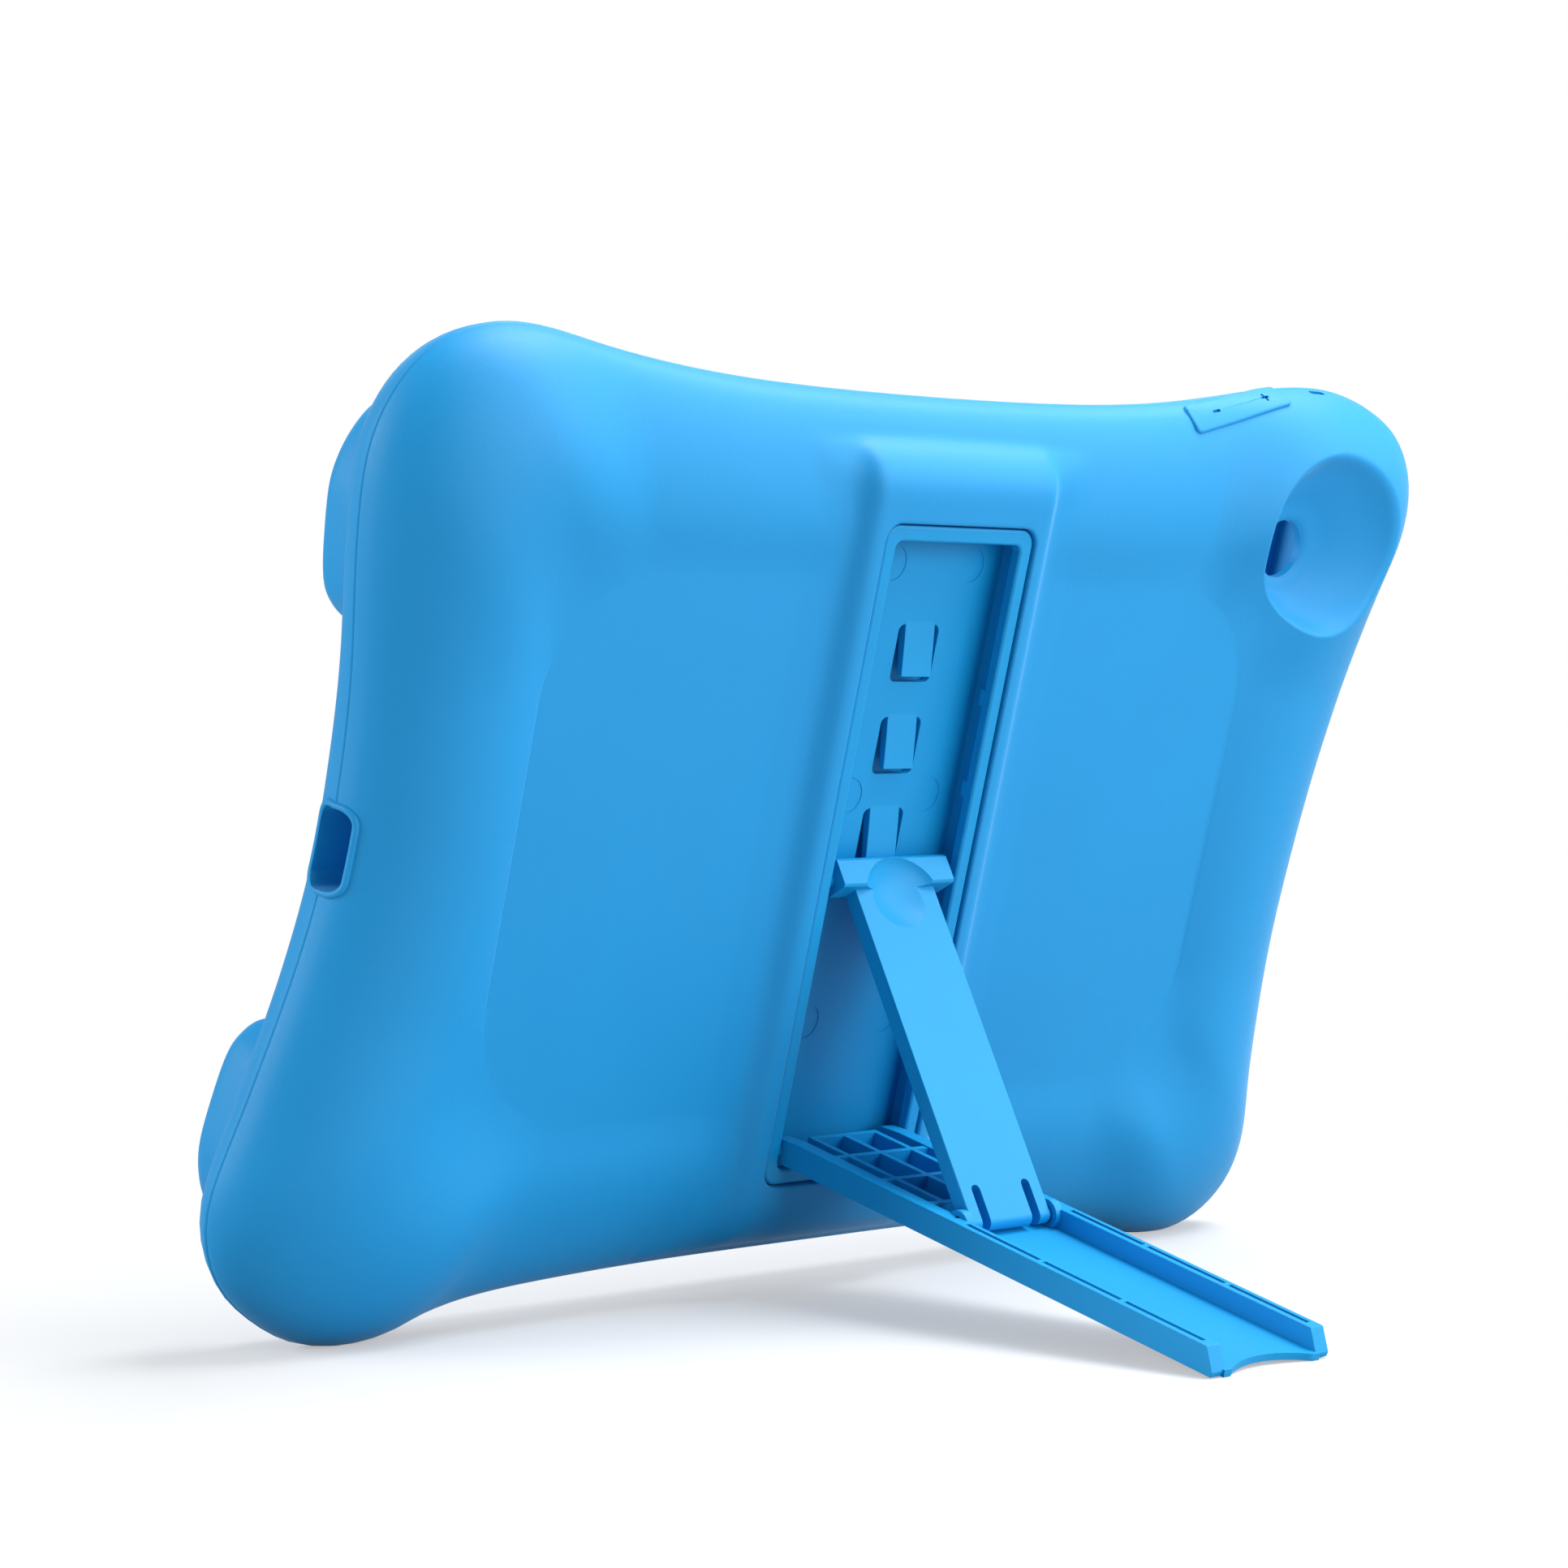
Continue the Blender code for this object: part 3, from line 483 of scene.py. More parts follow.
def shell_skin(sizes):
    """The shell's skin: a grid in the middle of the back, rings over the bumper to its front and pocket."""
    lines_u = spaced(((0, 17, 1.7), (17, 32, 0.6), (32, 50, 1.3), (50, GRID_HALF[0], 0.7)))
    lines_v = spaced(((0, 14, 0.9), (14, GRID_HALF[1], 0.75))) + CENTRE_V
    camera_u = np.linspace(60, GRID_HALF[0], 40)
    camera_v = CENTRE_V + np.linspace(23, GRID_HALF[1], 40)
    lines_u = np.concatenate([lines_u[lines_u < 59.6], camera_u])
    lines_v = np.concatenate([lines_v[lines_v < CENTRE_V + 22.6], camera_v])
    wide, high = len(lines_u), len(lines_v)
    grid = np.array([(u, v) for v in lines_v for u in lines_u])
    border = [c for c in range(wide)]
    border += [r * wide + wide - 1 for r in range(1, high)]
    border += [(high - 1) * wide + c for c in range(wide - 2, -1, -1)]
    border += [r * wide for r in range(high - 2, 0, -1)]
    border = np.array(border)
    start = grid[border]

    outline = Outline(OUTLINE)
    straight = (PANEL_HALF[0] - PANEL_HALF[2], PANEL_HALF[1] - PANEL_HALF[2])
    turns = outline.stops(start, *straight)
    edge = outline.at(turns)
    outward = outline.outward(turns)
    corner, side = corner_share(edge)
    panel = nearest_on(edge, *PANEL_HALF)
    span = np.linalg.norm(panel - edge, axis=1)

    rings = []
    for k in range(1, 9):
        share = k / 9
        rings.append((start * (1 - share) + panel * share, np.full(len(edge), -3.5)))
    profile = natural_curve(BACK_PROFILE, 60)[::-1]
    for inset, height, corner_extra, side_extra in profile:
        share = min(max(inset / BACK_PROFILE[-1][0], 0.0), 1.0)
        reach = (inset * (1 - share) + span * share) / span
        heights = height + corner_extra * corner + side_extra * side
        rings.append((edge + (panel - edge) * reach[:, None], heights))
    ridge = sizes.ridge / MM
    for out, w in ((0.0, 0.42), (0.55, 0.3), (1.0, 0.12), (1.0, -0.12), (0.55, -0.3), (0.0, -0.42)):
        rings.append((edge + outward * ridge * out, np.full(len(edge), SEAM + w)))
    screen = nearest_on(edge, *SCREEN_HALF, 4.0)
    for share, height in natural_curve([(30 * s, w) for s, w in FRONT_PROFILE], 26):
        share = min(max(share / 30, 0.0), 1.0)
        heights = height - 0.8 * corner * math.sin(math.pi * share)
        rings.append((edge + (screen - edge) * share, heights))
    pocket = nearest_on(edge, *TABLET_HALF, 9.0)
    rings.append((screen, np.full(len(edge), POCKET_FRONT)))
    rings.append((pocket, np.full(len(edge), POCKET_FRONT)))
    rings.append((pocket, np.full(len(edge), POCKET_BACK)))

    flat = np.concatenate([grid] + [p for p, _ in rings])
    heights = np.concatenate([np.full(len(grid), -3.5)] + [w for _, w in rings])
    back = len(grid) + (8 + len(profile)) * len(edge)
    heights[:back] = soft_max(heights[:back], plateau_height(flat[:back]), sizes.blend / MM)
    points = np.stack([-flat[:, 0], heights, flat[:, 1]], 1)

    faces = [
        (r * wide + c, r * wide + c + 1, (r + 1) * wide + c + 1, (r + 1) * wide + c)
        for r in range(high - 1) for c in range(wide - 1)
    ]
    around = len(edge)
    row = list(border)
    for k in range(len(rings)):
        after = [len(grid) + k * around + i for i in range(around)]
        faces += [(row[i], row[(i + 1) % around], after[(i + 1) % around], after[i]) for i in range(around)]
        row = after
    faces.append(tuple(row))
    return mesh_object("case_shell_skin", points, faces)


def sink_funnel(skin, blend):
    """Refines the skin round the camera and sinks the funnel into it."""
    shape = bmesh.new()
    shape.from_mesh(skin.data)

    def away(vert):
        return math.hypot(vert.co.x + 98, vert.co.z - 112) if vert.co.y > -8.0 else 99.0

    edges = [e for e in shape.edges if max(away(v) for v in e.verts) < 23.5]
    bmesh.ops.subdivide_edges(shape, edges=edges, cuts=3, use_grid_fill=True)
    near = [v for v in shape.verts if away(v) < 34]
    flat = np.array([(-v.co.x, v.co.z) for v in near])
    base = np.array([v.co.y for v in near])
    for vert, w in zip(near, -soft_max(-base, -funnel_height(flat), blend)):
        vert.co.y = w
    shape.to_mesh(skin.data)
    shape.free()
    return skin


def front_hump(x, v, turn, end):
    """A cupped hump on the front of the charging end, and the shape that cuts its cup."""
    c, s = math.cos(math.radians(turn)), math.sin(math.radians(turn))
    edge = Outline(HUMP_EDGE)
    edge = edge.at(np.arange(0, len(HUMP_EDGE), 0.2))
    loops = []
    rounding = [(-16.0, 0.0), (-21.0, 0.0)]
    rounding += [
        (-25.0 - 4.4 * math.sin(a), 4.6 * (1 - math.cos(a))) for a in np.radians(np.arange(0, 91, 10))
    ]
    for w, inset in rounding:
        wide, long = 1 - inset / HUMP_HALF, end * (1 - inset / HUMP_LONG)
        loops.append([
            (x - HUMP_HALF + a * wide * c - b * long * s, w, v + a * wide * s + b * long * c)
            for a, b in edge
        ])
    hump = loft("front_hump", loops)
    cup = []
    for w, size in ((-23.5, 1.0), (-24.5, 1.01), (-26.5, 1.04), (-28.5, 1.08), (-31.0, 1.16)):
        outline = rounded(7.0 * size, (-11.5 * size, 11.5 * size), 6.5, 10)
        cup.append([(x - 13.0 + a, w, v + b) for a, b in outline])
    return hump, loft("hump_cup", cup)


def draped(tree, points, out):
    """Drops points along a direction, given outwards, onto the shell's skin."""
    out = Vector(out).normalized()
    return [tree.ray_cast(Vector(p) + out * 40, -out)[0] for p in points]


def volume_pad(tree, rise):
    """The low volume pad that follows the top edge, with sunk minus and plus marks."""
    place = Matrix.Translation(PAD_AT) @ Matrix.Rotation(math.radians(PAD_TILT), 4, "X")
    place = place @ Matrix.Rotation(math.radians(PAD_TURN), 4, "Y")
    out = place.to_3x3() @ Vector((0, 1, 0))
    edge = [(0.0, -2.0), (0.0, 0.1)]
    edge += [
        (0.4 * (1 - math.cos(a)), rise - 0.35 * (1 - math.sin(a))) for a in np.radians((15, 40, 65, 90))
    ]
    loops = []
    for inset, height in edge + [(inset, rise) for inset in (0.8, 1.3, 1.8, 2.3, 2.87)]:
        half_x, half_v = PAD_HALF[0] - inset, PAD_HALF[1] - inset
        outline = rounded(half_x, (-half_v, half_v), min(max(0.1, 1.2 - inset), 0.9 * half_v), 6)
        spread = []
        for (x0, v0), (x1, v1) in zip(outline, outline[1:] + outline[:1]):
            parts = PAD_PARTS if abs(x1 - x0) > half_x else 1
            spread += [(x0 + (x1 - x0) * k / parts, v0 + (v1 - v0) * k / parts) for k in range(parts)]
        skin = draped(tree, [place @ Vector((x, 0, v)) for x, v in spread], out)
        loops.append([point + out * height for point in skin])
    pad = loft("volume_pad", loops)
    for name, x, v in (
        ("minus", (5.4, 7.4), (-0.3, 0.3)), ("plus_across", (-8.7, -6.7), (-0.3, 0.3)),
        ("plus_along", (-8.0, -7.4), (-1.0, 1.0)),
    ):
        middle = place @ Vector((sum(x) / 2, 0, sum(v) / 2))
        floor = (draped(tree, [middle], out)[0] - middle).dot(out) + rise - MARK_DEEP
        mark = block(name, x, (floor, floor + 3.0), v)
        mark.data.transform(place)
        cut(pad, mark)
    return pad


def side_outline(v_range, w_range, radius, steps=6):
    half = (w_range[1] - w_range[0]) / 2
    middle = (w_range[1] + w_range[0]) / 2
    return [(middle + x, v) for x, v in rounded(half, v_range, radius, steps)]


def across(name, outline, x_low, x_high):
    """A solid with a side outline of points (w, v), running across from x_low to x_high."""
    return loft(name, [[(x, w, v) for w, v in outline] for x in (x_low, x_high)])


def circle(centre, radius, count=40):
    turn = [math.tau * (k + 0.5) / count for k in range(count)]
    return [(centre[0] + radius * math.cos(a), centre[1] + radius * math.sin(a)) for a in turn]


def set_inputs(tree, node, inputs):
    """Sets a node's inputs to values, or joins them to the outputs of other nodes."""
    for label, value in inputs.items():
        if isinstance(value, bpy.types.NodeSocket):
            tree.links.new(value, node.inputs[label])
        else:
            node.inputs[label].default_value = value


def add_node(tree, kind, inputs=None, **options):
    node = tree.nodes.new(kind)
    for option, value in options.items():
        setattr(node, option, value)
    set_inputs(tree, node, inputs or {})
    return node


def nodes_tree(name, sockets):
    """A new node tree with named inputs and one geometry output, with its input and output nodes."""
    tree = bpy.data.node_groups.new(name, "GeometryNodeTree")
    for label, kind in sockets:
        tree.interface.new_socket(label, in_out="INPUT", socket_type=kind)
    tree.interface.new_socket("Geometry", in_out="OUTPUT", socket_type="NodeSocketGeometry")
    return tree, tree.nodes.new("NodeGroupInput"), tree.nodes.new("NodeGroupOutput")


def ends_in(tree, geometry, start, end):
    """Realizes the instances, sets the material and leads to the tree's output."""
    real = add_node(tree, "GeometryNodeRealizeInstances", {"Geometry": geometry})
    painted = add_node(tree, "GeometryNodeSetMaterial", {
        "Geometry": real.outputs["Geometry"], "Material": start.outputs["Finish"],
    })
    set_inputs(tree, end, {"Geometry": painted.outputs["Geometry"]})
    return tree


def repeat_tree():
    """Puts a piece on every point, stretched by the point's own three factors."""
    found = bpy.data.node_groups.get("tablet_case_repeat")
    if found:
        return found
    tree, start, end = nodes_tree("tablet_case_repeat", (
        ("Geometry", "NodeSocketGeometry"), ("Piece", "NodeSocketObject"), ("Finish", "NodeSocketMaterial"),
    ))
    piece = add_node(tree, "GeometryNodeObjectInfo", {"Object": start.outputs["Piece"]})
    stretch = add_node(
        tree, "GeometryNodeInputNamedAttribute", {"Name": "stretch"}, data_type="FLOAT_VECTOR",
    )
    spread = add_node(tree, "GeometryNodeInstanceOnPoints", {
        "Points": start.outputs["Geometry"], "Instance": piece.outputs["Geometry"],
        "Scale": stretch.outputs["Attribute"],
    })
    return ends_in(tree, spread.outputs["Instances"], start, end)


def bead_tree():
    """Runs a round bead along a path."""
    found = bpy.data.node_groups.get("tablet_case_bead")
    if found:
        return found
    tree, start, end = nodes_tree("tablet_case_bead", (
        ("Geometry", "NodeSocketGeometry"), ("Radius", "NodeSocketFloat"), ("Sides", "NodeSocketInt"),
        ("Finish", "NodeSocketMaterial"),
    ))
    path = add_node(tree, "GeometryNodeMeshToCurve", {"Mesh": start.outputs["Geometry"]})
    profile = add_node(tree, "GeometryNodeCurvePrimitiveCircle", {
        "Radius": start.outputs["Radius"], "Resolution": start.outputs["Sides"],
    })
    bead = add_node(tree, "GeometryNodeCurveToMesh", {
        "Curve": path.outputs["Curve"], "Profile Curve": profile.outputs["Curve"],
    })
    return ends_in(tree, bead.outputs["Mesh"], start, end)


def grown(name, points, edges, tree, inputs, stretch=()):
    """The plain mesh that a node tree makes from points and edges."""
    mesh = bpy.data.meshes.new(name)
    mesh.from_pydata([tuple(p) for p in points], edges, [])
    if stretch:
        own = mesh.attributes.new("stretch", "FLOAT_VECTOR", "POINT")
        own.data.foreach_set("vector", [c for factors in stretch for c in factors])
    thing = bpy.data.objects.new(name, mesh)
    bpy.context.scene.collection.objects.link(thing)
    step = thing.modifiers.new("grow", "NODES")
    step.node_group = tree
    for item in tree.interface.items_tree:
        if item.in_out == "INPUT" and item.name in inputs:
            step[item.identifier] = inputs[item.name]
    return applied(thing)


def repeated(name, piece, places, stretch=None):
    """A piece made about the origin, put on each place as one mesh."""
    stretch = stretch or [(1.0, 1.0, 1.0)] * len(places)
    inputs = {"Piece": piece, "Finish": plastic_finish()}
    thing = grown(name, places, [], repeat_tree(), inputs, stretch)
    bpy.data.objects.remove(piece, do_unlink=True)
    return thing


def port_lip(tree, radius):
    """A round bead that follows the skin round the charging port."""
    v_range, w_range = ((low - 0.6 * radius, high + 0.6 * radius) for low, high in (PORT_V, PORT_W))
    mouth = side_outline(v_range, w_range, PORT_ROUND, 14)
    spread = []
    for (w0, v0), (w1, v1) in zip(mouth, mouth[1:] + mouth[:1]):
        parts = max(1, round(math.hypot(w1 - w0, v1 - v0) / 0.4))
        spread += [(w0 + (w1 - w0) * k / parts, v0 + (v1 - v0) * k / parts) for k in range(parts)]
    path = draped(tree, [(110.0, w, v) for w, v in spread], (1, 0, 0))
    edges = [(k, (k + 1) % len(path)) for k in range(len(path))]
    inputs = {"Radius": radius, "Sides": 20, "Finish": silicone_finish()}
    return grown("port_lip", path, edges, bead_tree(), inputs)


def tray_opening(rim):
    """The opening for the stand tray, flaring in a small rounding at the plateau's top face."""
    loops = []
    steps = [(BACK_WALL, 0.0), (-rim, 0.0)]
    steps += [(-rim + rim * math.sin(a), rim * (1 - math.cos(a))) for a in np.radians((22, 45, 67, 90))]
    steps += [(1.5, rim)]
    for w, more in steps:
        half = TRAY_HALF + FIT + more
        outline = rounded(half, (TRAY_V[0] - FIT - more, TRAY_V[1] + FIT + more), 3.3 + more, 8)
        loops.append([(x, w, v) for x, v in outline])
    return loft("stand_opening", loops)


def camera_hole():
    loops = []
    for w, radius, u, v in ((-9.8, 5.4, 92.5, 109.0), (-5.0, 5.7, 93.0, 109.25)):
        turns = [math.tau * k / 64 for k in range(64)]
        loops.append([(-u - radius * math.cos(a), w, v + radius * math.sin(a)) for a in turns])
    return loft("camera_hole", loops)


def smooth(thing, angle=35):
    thing.data.shade_smooth()
    thing.data.set_sharp_from_angle(angle=math.radians(angle))
    return thing


def noise(tree, scale, detail, rough):
    place = add_node(tree, "ShaderNodeTexCoord")
    return add_node(tree, "ShaderNodeTexNoise", {
        "Scale": scale, "Detail": detail, "Roughness": rough, "Vector": place.outputs["Object"],
    }).outputs["Fac"]


def between(tree, source, low, high):
    """A value that runs from low to high with a noise texture."""
    return add_node(tree, "ShaderNodeMapRange", {
        "From Min": 0.3, "From Max": 0.7, "To Min": low, "To Max": high, "Value": source,
    }).outputs["Result"]


def tinted(tree, source, colour, less, more):
    """The colour, a little darker and lighter along a noise texture."""
    return add_node(tree, "ShaderNodeMix", {
        "A": (*[c * less for c in colour], 1), "B": (*[min(1.0, c * more) for c in colour], 1),
        "Factor": source,
    }, data_type="RGBA").outputs["Result"]


def moulded_finish(name, colour, tint, rough, broad, fine, grain, inputs):
    """A finish whose tint changes slowly, with a fine grain in its roughness and its surface."""
    found = bpy.data.materials.get(name)
    if found:
        return found
    finish = bpy.data.materials.new(name)
    finish.use_nodes = True
    tree = finish.node_tree
    broad, fine = noise(tree, *broad), noise(tree, *fine)
    bump = add_node(tree, "ShaderNodeBump", {"Distance": grain, "Strength": 1.0, "Height": fine})
    set_inputs(tree, tree.nodes["Principled BSDF"], {
        "Base Color": tinted(tree, broad, colour, *tint), "Roughness": between(tree, fine, *rough),
        "Normal": bump.outputs["Normal"], **inputs,
    })
    return finish


def silicone_finish():
    sizes = settings("finish")
    return moulded_finish(
        "silicone_finish", sizes.silicone, tint=(0.95, 1.05),
        rough=(sizes.silicone_rough - 0.04, sizes.silicone_rough + 0.05),
        broad=(28, 2.0, 0.5), fine=(1400, 4.0, 0.6), grain=sizes.grain,
        inputs={
            "IOR": 1.42, "Specular IOR Level": 0.5, "Sheen Weight": 0.25, "Sheen Roughness": 0.3,
            "Sheen Tint": (0.7, 0.88, 1.0, 1),
        },
    )


def plastic_finish():
    sizes = settings("finish")
    return moulded_finish(
        "plastic_finish", sizes.plastic, tint=(0.96, 1.06),
        rough=(sizes.plastic_rough - 0.05, sizes.plastic_rough + 0.08),
        broad=(60, 2.0, 0.5), fine=(2600, 3.0, 0.65), grain=sizes.grain * 0.6,
        inputs={"IOR": 1.45, "Specular IOR Level": 0.35},
    )


def tied(thing, finish, body, node):
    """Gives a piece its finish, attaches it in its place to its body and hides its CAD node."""
    thing.data.materials.clear()
    thing.data.materials.append(finish)
    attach(thing, body)
    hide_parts(node)
    return thing


def softened(thing):
    """Merges the loose triangles of a simple piece and rounds its edges."""
    sizes = settings("stand")
    shape = bmesh.new()
    shape.from_mesh(thing.data)
    bmesh.ops.remove_doubles(shape, verts=shape.verts, dist=1e-3)
    bmesh.ops.dissolve_limit(
        shape, angle_limit=math.radians(0.5), use_dissolve_boundaries=False,
        verts=shape.verts, edges=shape.edges,
    )
    shape.to_mesh(thing.data)
    shape.free()
    rounding = thing.modifiers.new("edges", "BEVEL")
    rounding.width = sizes.edge / MM
    rounding.segments = 2
    rounding.limit_method = "ANGLE"
    rounding.angle_limit = sizes.edge_angle
    rounding.use_clamp_overlap = False
    rounding.miter_outer = "MITER_ARC"
    return applied(thing)


def flat_faced(thing):
    """Shades a finished piece smooth over its roundings and flat over its large faces."""
    shape = bmesh.new()
    shape.from_mesh(thing.data)
    bmesh.ops.triangulate(shape, faces=[face for face in shape.faces if len(face.verts) > 4])
    shape.to_mesh(thing.data)
    shape.free()
    smooth(thing, 40)
    flat = thing.modifiers.new("flat faces", "WEIGHTED_NORMAL")
    flat.keep_sharp = True
    flat.weight = 100
    return applied(thing)


def rimmed(name, outline_at, steps):
    """A plate whose outline grows or shrinks with its height: steps are (w, out)."""
    return loft(name, [[(x, w, v) for x, v in outline_at(out)] for w, out in steps])


def spring_tab():
    """One spring tab, rising from the floor at its top end to its free lower end at the origin."""
    rise = FLOOR_TOP + TAB_RISE
    outline = [
        (FLOOR_TOP, TAB_LONG + 1.2), (FLOOR_UNDER, TAB_LONG + 1.2), (FLOOR_UNDER, TAB_LONG - 0.6),
        (rise - TAB_THICK, 0.0), (rise, 0.0), (FLOOR_TOP + 0.55, TAB_LONG - 2.2),
    ]
    return across("spring_tab", outline, -TAB_HALF, TAB_HALF)


def tray_body():
    tray = rimmed(
        "moulded_tray",
        lambda out: rounded(TRAY_HALF + out, (TRAY_V[0] - out, TRAY_V[1] + out), 3.0 + out, 10),
        (
            (FLOOR_UNDER, 0.0), (RIM_TOP - 0.6, 0.0), (RIM_TOP - 0.28, -0.07), (RIM_TOP - 0.08, -0.25),
            (RIM_TOP, -0.55),
        ),
    )
    join(tray, plate("flange", rounded(FLANGE_HALF, FLANGE_V, 4.0), FLOOR_UNDER, -6.4))
    half, low, high = TRAY_HALF - RIM_WIDTH, TRAY_V[0] + RIM_WIDTH, TRAY_V[1] - RIM_WIDTH
    cut(tray, rimmed(
        "inside", lambda out: rounded(half + out, (low - out, high + out), 1.4 + out, 8),
        ((FLOOR_TOP, 0.0), (RIM_TOP - 0.5, 0.0), (RIM_TOP - 0.2, 0.08), (RIM_TOP, 0.4), (1.0, 0.9)),
    ))
    cut(tray, plate("grooves", rounded(GROOVE_HALF, GROOVE_V, 2.0), FLOOR_TOP, RIM_UNDER))
    window = rounded(WINDOW_HALF, (-WINDOW_BELOW, TAB_LONG + WINDOW_ABOVE), 1.2, 6)
    window = plate("window", window, FLOOR_UNDER - 1, FLOOR_TOP + 1)
    ends = [(0.0, 0.0, v) for v in TAB_FREE_ENDS]
    cut(tray, repeated("windows", window, ends))
    softened(tray)
    join(tray, repeated("spring_tabs", softened(spring_tab()), ends))
    mark = plate("ejector_mark", circle((0, 0), settings("stand").mark_radius / MM, 48), -6.42, -6.0)
    marks = [(side * MARK_U, 0.0, v) for v in MARK_V for side in (-1, 1)]
    cut(tray, repeated("ejector_marks", mark, marks))
    detent = block("detent", (-0.63, 0.63), (-3.25, -2.3), (-DETENT_HALF, DETENT_HALF))
    places = [(side * DETENT_U, 0.0, v) for side in (-1, 1) for v in DETENT_V]
    join(tray, repeated("detents", detent, places))
    for side in (-1, 1):
        hole = circle((HINGE_W, 0.0), HINGE_HOLE)
        cut(tray, across("hinge_hole", hole, *sorted((side * 14.0, side * 17.1))))
    return tray


def leg_side(points):
    """Turns points (s, t) of the leg, along it and up to its rail tops, to (w, v) of the folded leg."""
    return [(-t, s) for s, t in points]


def leg_block(name, x, s, t):
    return across(name, leg_side([(s[0], t[0]), (s[1], t[0]), (s[1], t[1]), (s[0], t[1])]), *x)


def leg_plate(name, outline, t_low, t_high):
    """A plate of the leg with an outline of points (x, s)."""
    return loft(name, [[(x, -t, s) for x, s in outline] for t in (t_low, t_high)])


def leg_body():
    inner = LEG_HALF - RAIL_WIDE
    turns = [math.radians(180 * k / 24) for k in range(25)]
    rail = [(LEG_UNDER * math.sin(a), LEG_UNDER * math.cos(a)) for a in turns]
    rail += [(4.0, LEG_TOP), (RAIL_LONG, LEG_TOP), (LEG_LONG - 0.3, -1.3), (LEG_LONG - 0.6, LEG_UNDER)]
    leg = softened(across("moulded_leg", leg_side(rail), inner, LEG_HALF))
    join(leg, softened(across("rail", leg_side(rail), -LEG_HALF, -inner)))
    arc = [(10.0 - 20.0 * k / 28, 2.8 * math.sin(math.pi * k / 28) ** 0.8) for k in range(29)]
    web = [(inner + 0.6, 10.5), (inner + 0.6, LEG_LONG)] + [(x, LEG_LONG - d) for x, d in arc]
    web += [(-inner - 0.6, LEG_LONG), (-inner - 0.6, 10.5)]
    web += [(-8.2, 10.5), (-8.2, 1.0), (8.2, 1.0), (8.2, 10.5)]
    join(leg, leg_plate("web", web, LEG_UNDER, WEB_TOP))
    rib_top = LEG_TOP - 0.25
    rib = leg_block("rib", (-0.5, 0.5), (0.0, 1.0), (LEG_UNDER + 0.3, rib_top))
    rows = [(s, 16.4 if s == RIB_ROWS[0] else 2 * inner + 1.0) for s in RIB_ROWS]
    sizes = [(wide, 1, RIB_THICK) for _, wide in rows]
    join(leg, repeated("cross_ribs", rib, [(0, 0, s) for s, _ in rows], sizes))
    rib = leg_block("rib", (-0.5, 0.5), (0.0, 1.0), (LEG_UNDER + 0.3, rib_top - 0.03))
    columns = [(x, 0, 1.4) for x in RIB_COLUMNS]
    join(leg, repeated("long_ribs", rib, columns, [(RIB_THICK, 1, RIB_END - 1.4)] * len(columns)))
    for side in (-1, 1):
        boss = leg_side(circle(STRUT_AT, 2.6))
        join(leg, across("boss", boss, *sorted((side * (inner + 0.5), side * 9.9))))
        pin = leg_side(circle((0, 0), HINGE_PIN))
        join(leg, across("hinge_pin", pin, *sorted((side * 13.5, side * 16.8))))
        hole = leg_side(circle(STRUT_AT, STRUT_HOLE))
        cut(leg, across("strut_hole", hole, *sorted((side * 9.0, side * 12.3))))
    pocket = leg_block("pocket", (-0.5, 0.5), (0.0, 1.0), (-0.6, LEG_TOP + 1))
    places = [(side * POCKET_U, 0, low) for side in (-1, 1) for low, _ in POCKET_SPANS]
    sizes = [(1.0, 1, high - low) for _ in (-1, 1) for low, high in POCKET_SPANS]
    cut(leg, repeated("pockets", pocket, places, sizes))
    return leg


def strut_side(points):
    """Turns points (s, n) of the strut, along it and out of its outer face, to (w, v)."""
    return [(n, s) for s, n in points]


def thumb_dish():
    """The oval hollow for a thumb, across the head and the strut below it."""
    rows = []
    for a in [0.0] + [math.radians(10 + 80 * k / 19) for k in range(1, 19)]:
        flat, n = (1.0, 4.9) if a == 0.0 else (math.cos(a), 4.9 - 4.3 * math.sin(a))
        turns = [math.tau * k / 64 for k in range(64)]
        rows.append([
            (9.2 * flat * math.cos(b), n, STRUT_LONG - 5.2 + 8.0 * flat * math.sin(b)) for b in turns
        ])
    return loft("thumb_dish", rows)


def strut_body():
    end = [math.radians(25 + 155 * k / 16) for k in range(17)]
    side = [(STRUT_LONG, STRUT_IN), (1.0, STRUT_IN)]
    side += [(-1.6 * math.sin(a), -1.6 * math.cos(a)) for a in end]
    side += [(1.0, STRUT_OUT), (STRUT_LONG, STRUT_OUT)]
    strut = softened(across("moulded_strut", strut_side(side), -STRUT_HALF, STRUT_HALF))
    half = HEAD_LONG / 2
    head = [
        (STRUT_LONG - half, HEAD_OUT - 0.5), (STRUT_LONG - half + 0.5, HEAD_OUT),
        (STRUT_LONG + half - 0.6, HEAD_OUT), (STRUT_LONG + half, HEAD_OUT - 0.6),
        (STRUT_LONG + half, HEAD_IN + 1.1), (STRUT_LONG + half - 0.35, HEAD_IN + 0.35),
        (STRUT_LONG + half - 1.1, HEAD_IN), (STRUT_LONG - half, HEAD_IN),
    ]
    join(strut, softened(across("head", strut_side(head), -HEAD_HALF, HEAD_HALF)))
    for sign in (-1, 1):
        wing = strut_side(circle((STRUT_LONG, 0), 1.3))
        join(strut, across("wing", wing, *sorted((sign * 12.8, sign * 14.5))))
        pin = strut_side(circle((0, 0), STRUT_PIN))
        join(strut, across("strut_pin", pin, *sorted((sign * 8.6, sign * 11.8))))
    slot = plate("slot", rounded(1.0, (-4.0, 6.2), 0.98, 10), STRUT_IN - 1, STRUT_OUT + 1)
    cut(strut, repeated("slots", slot, [(-6.0, 0, 0), (6.0, 0, 0)]))
    cut(strut, thumb_dish())
    return strut


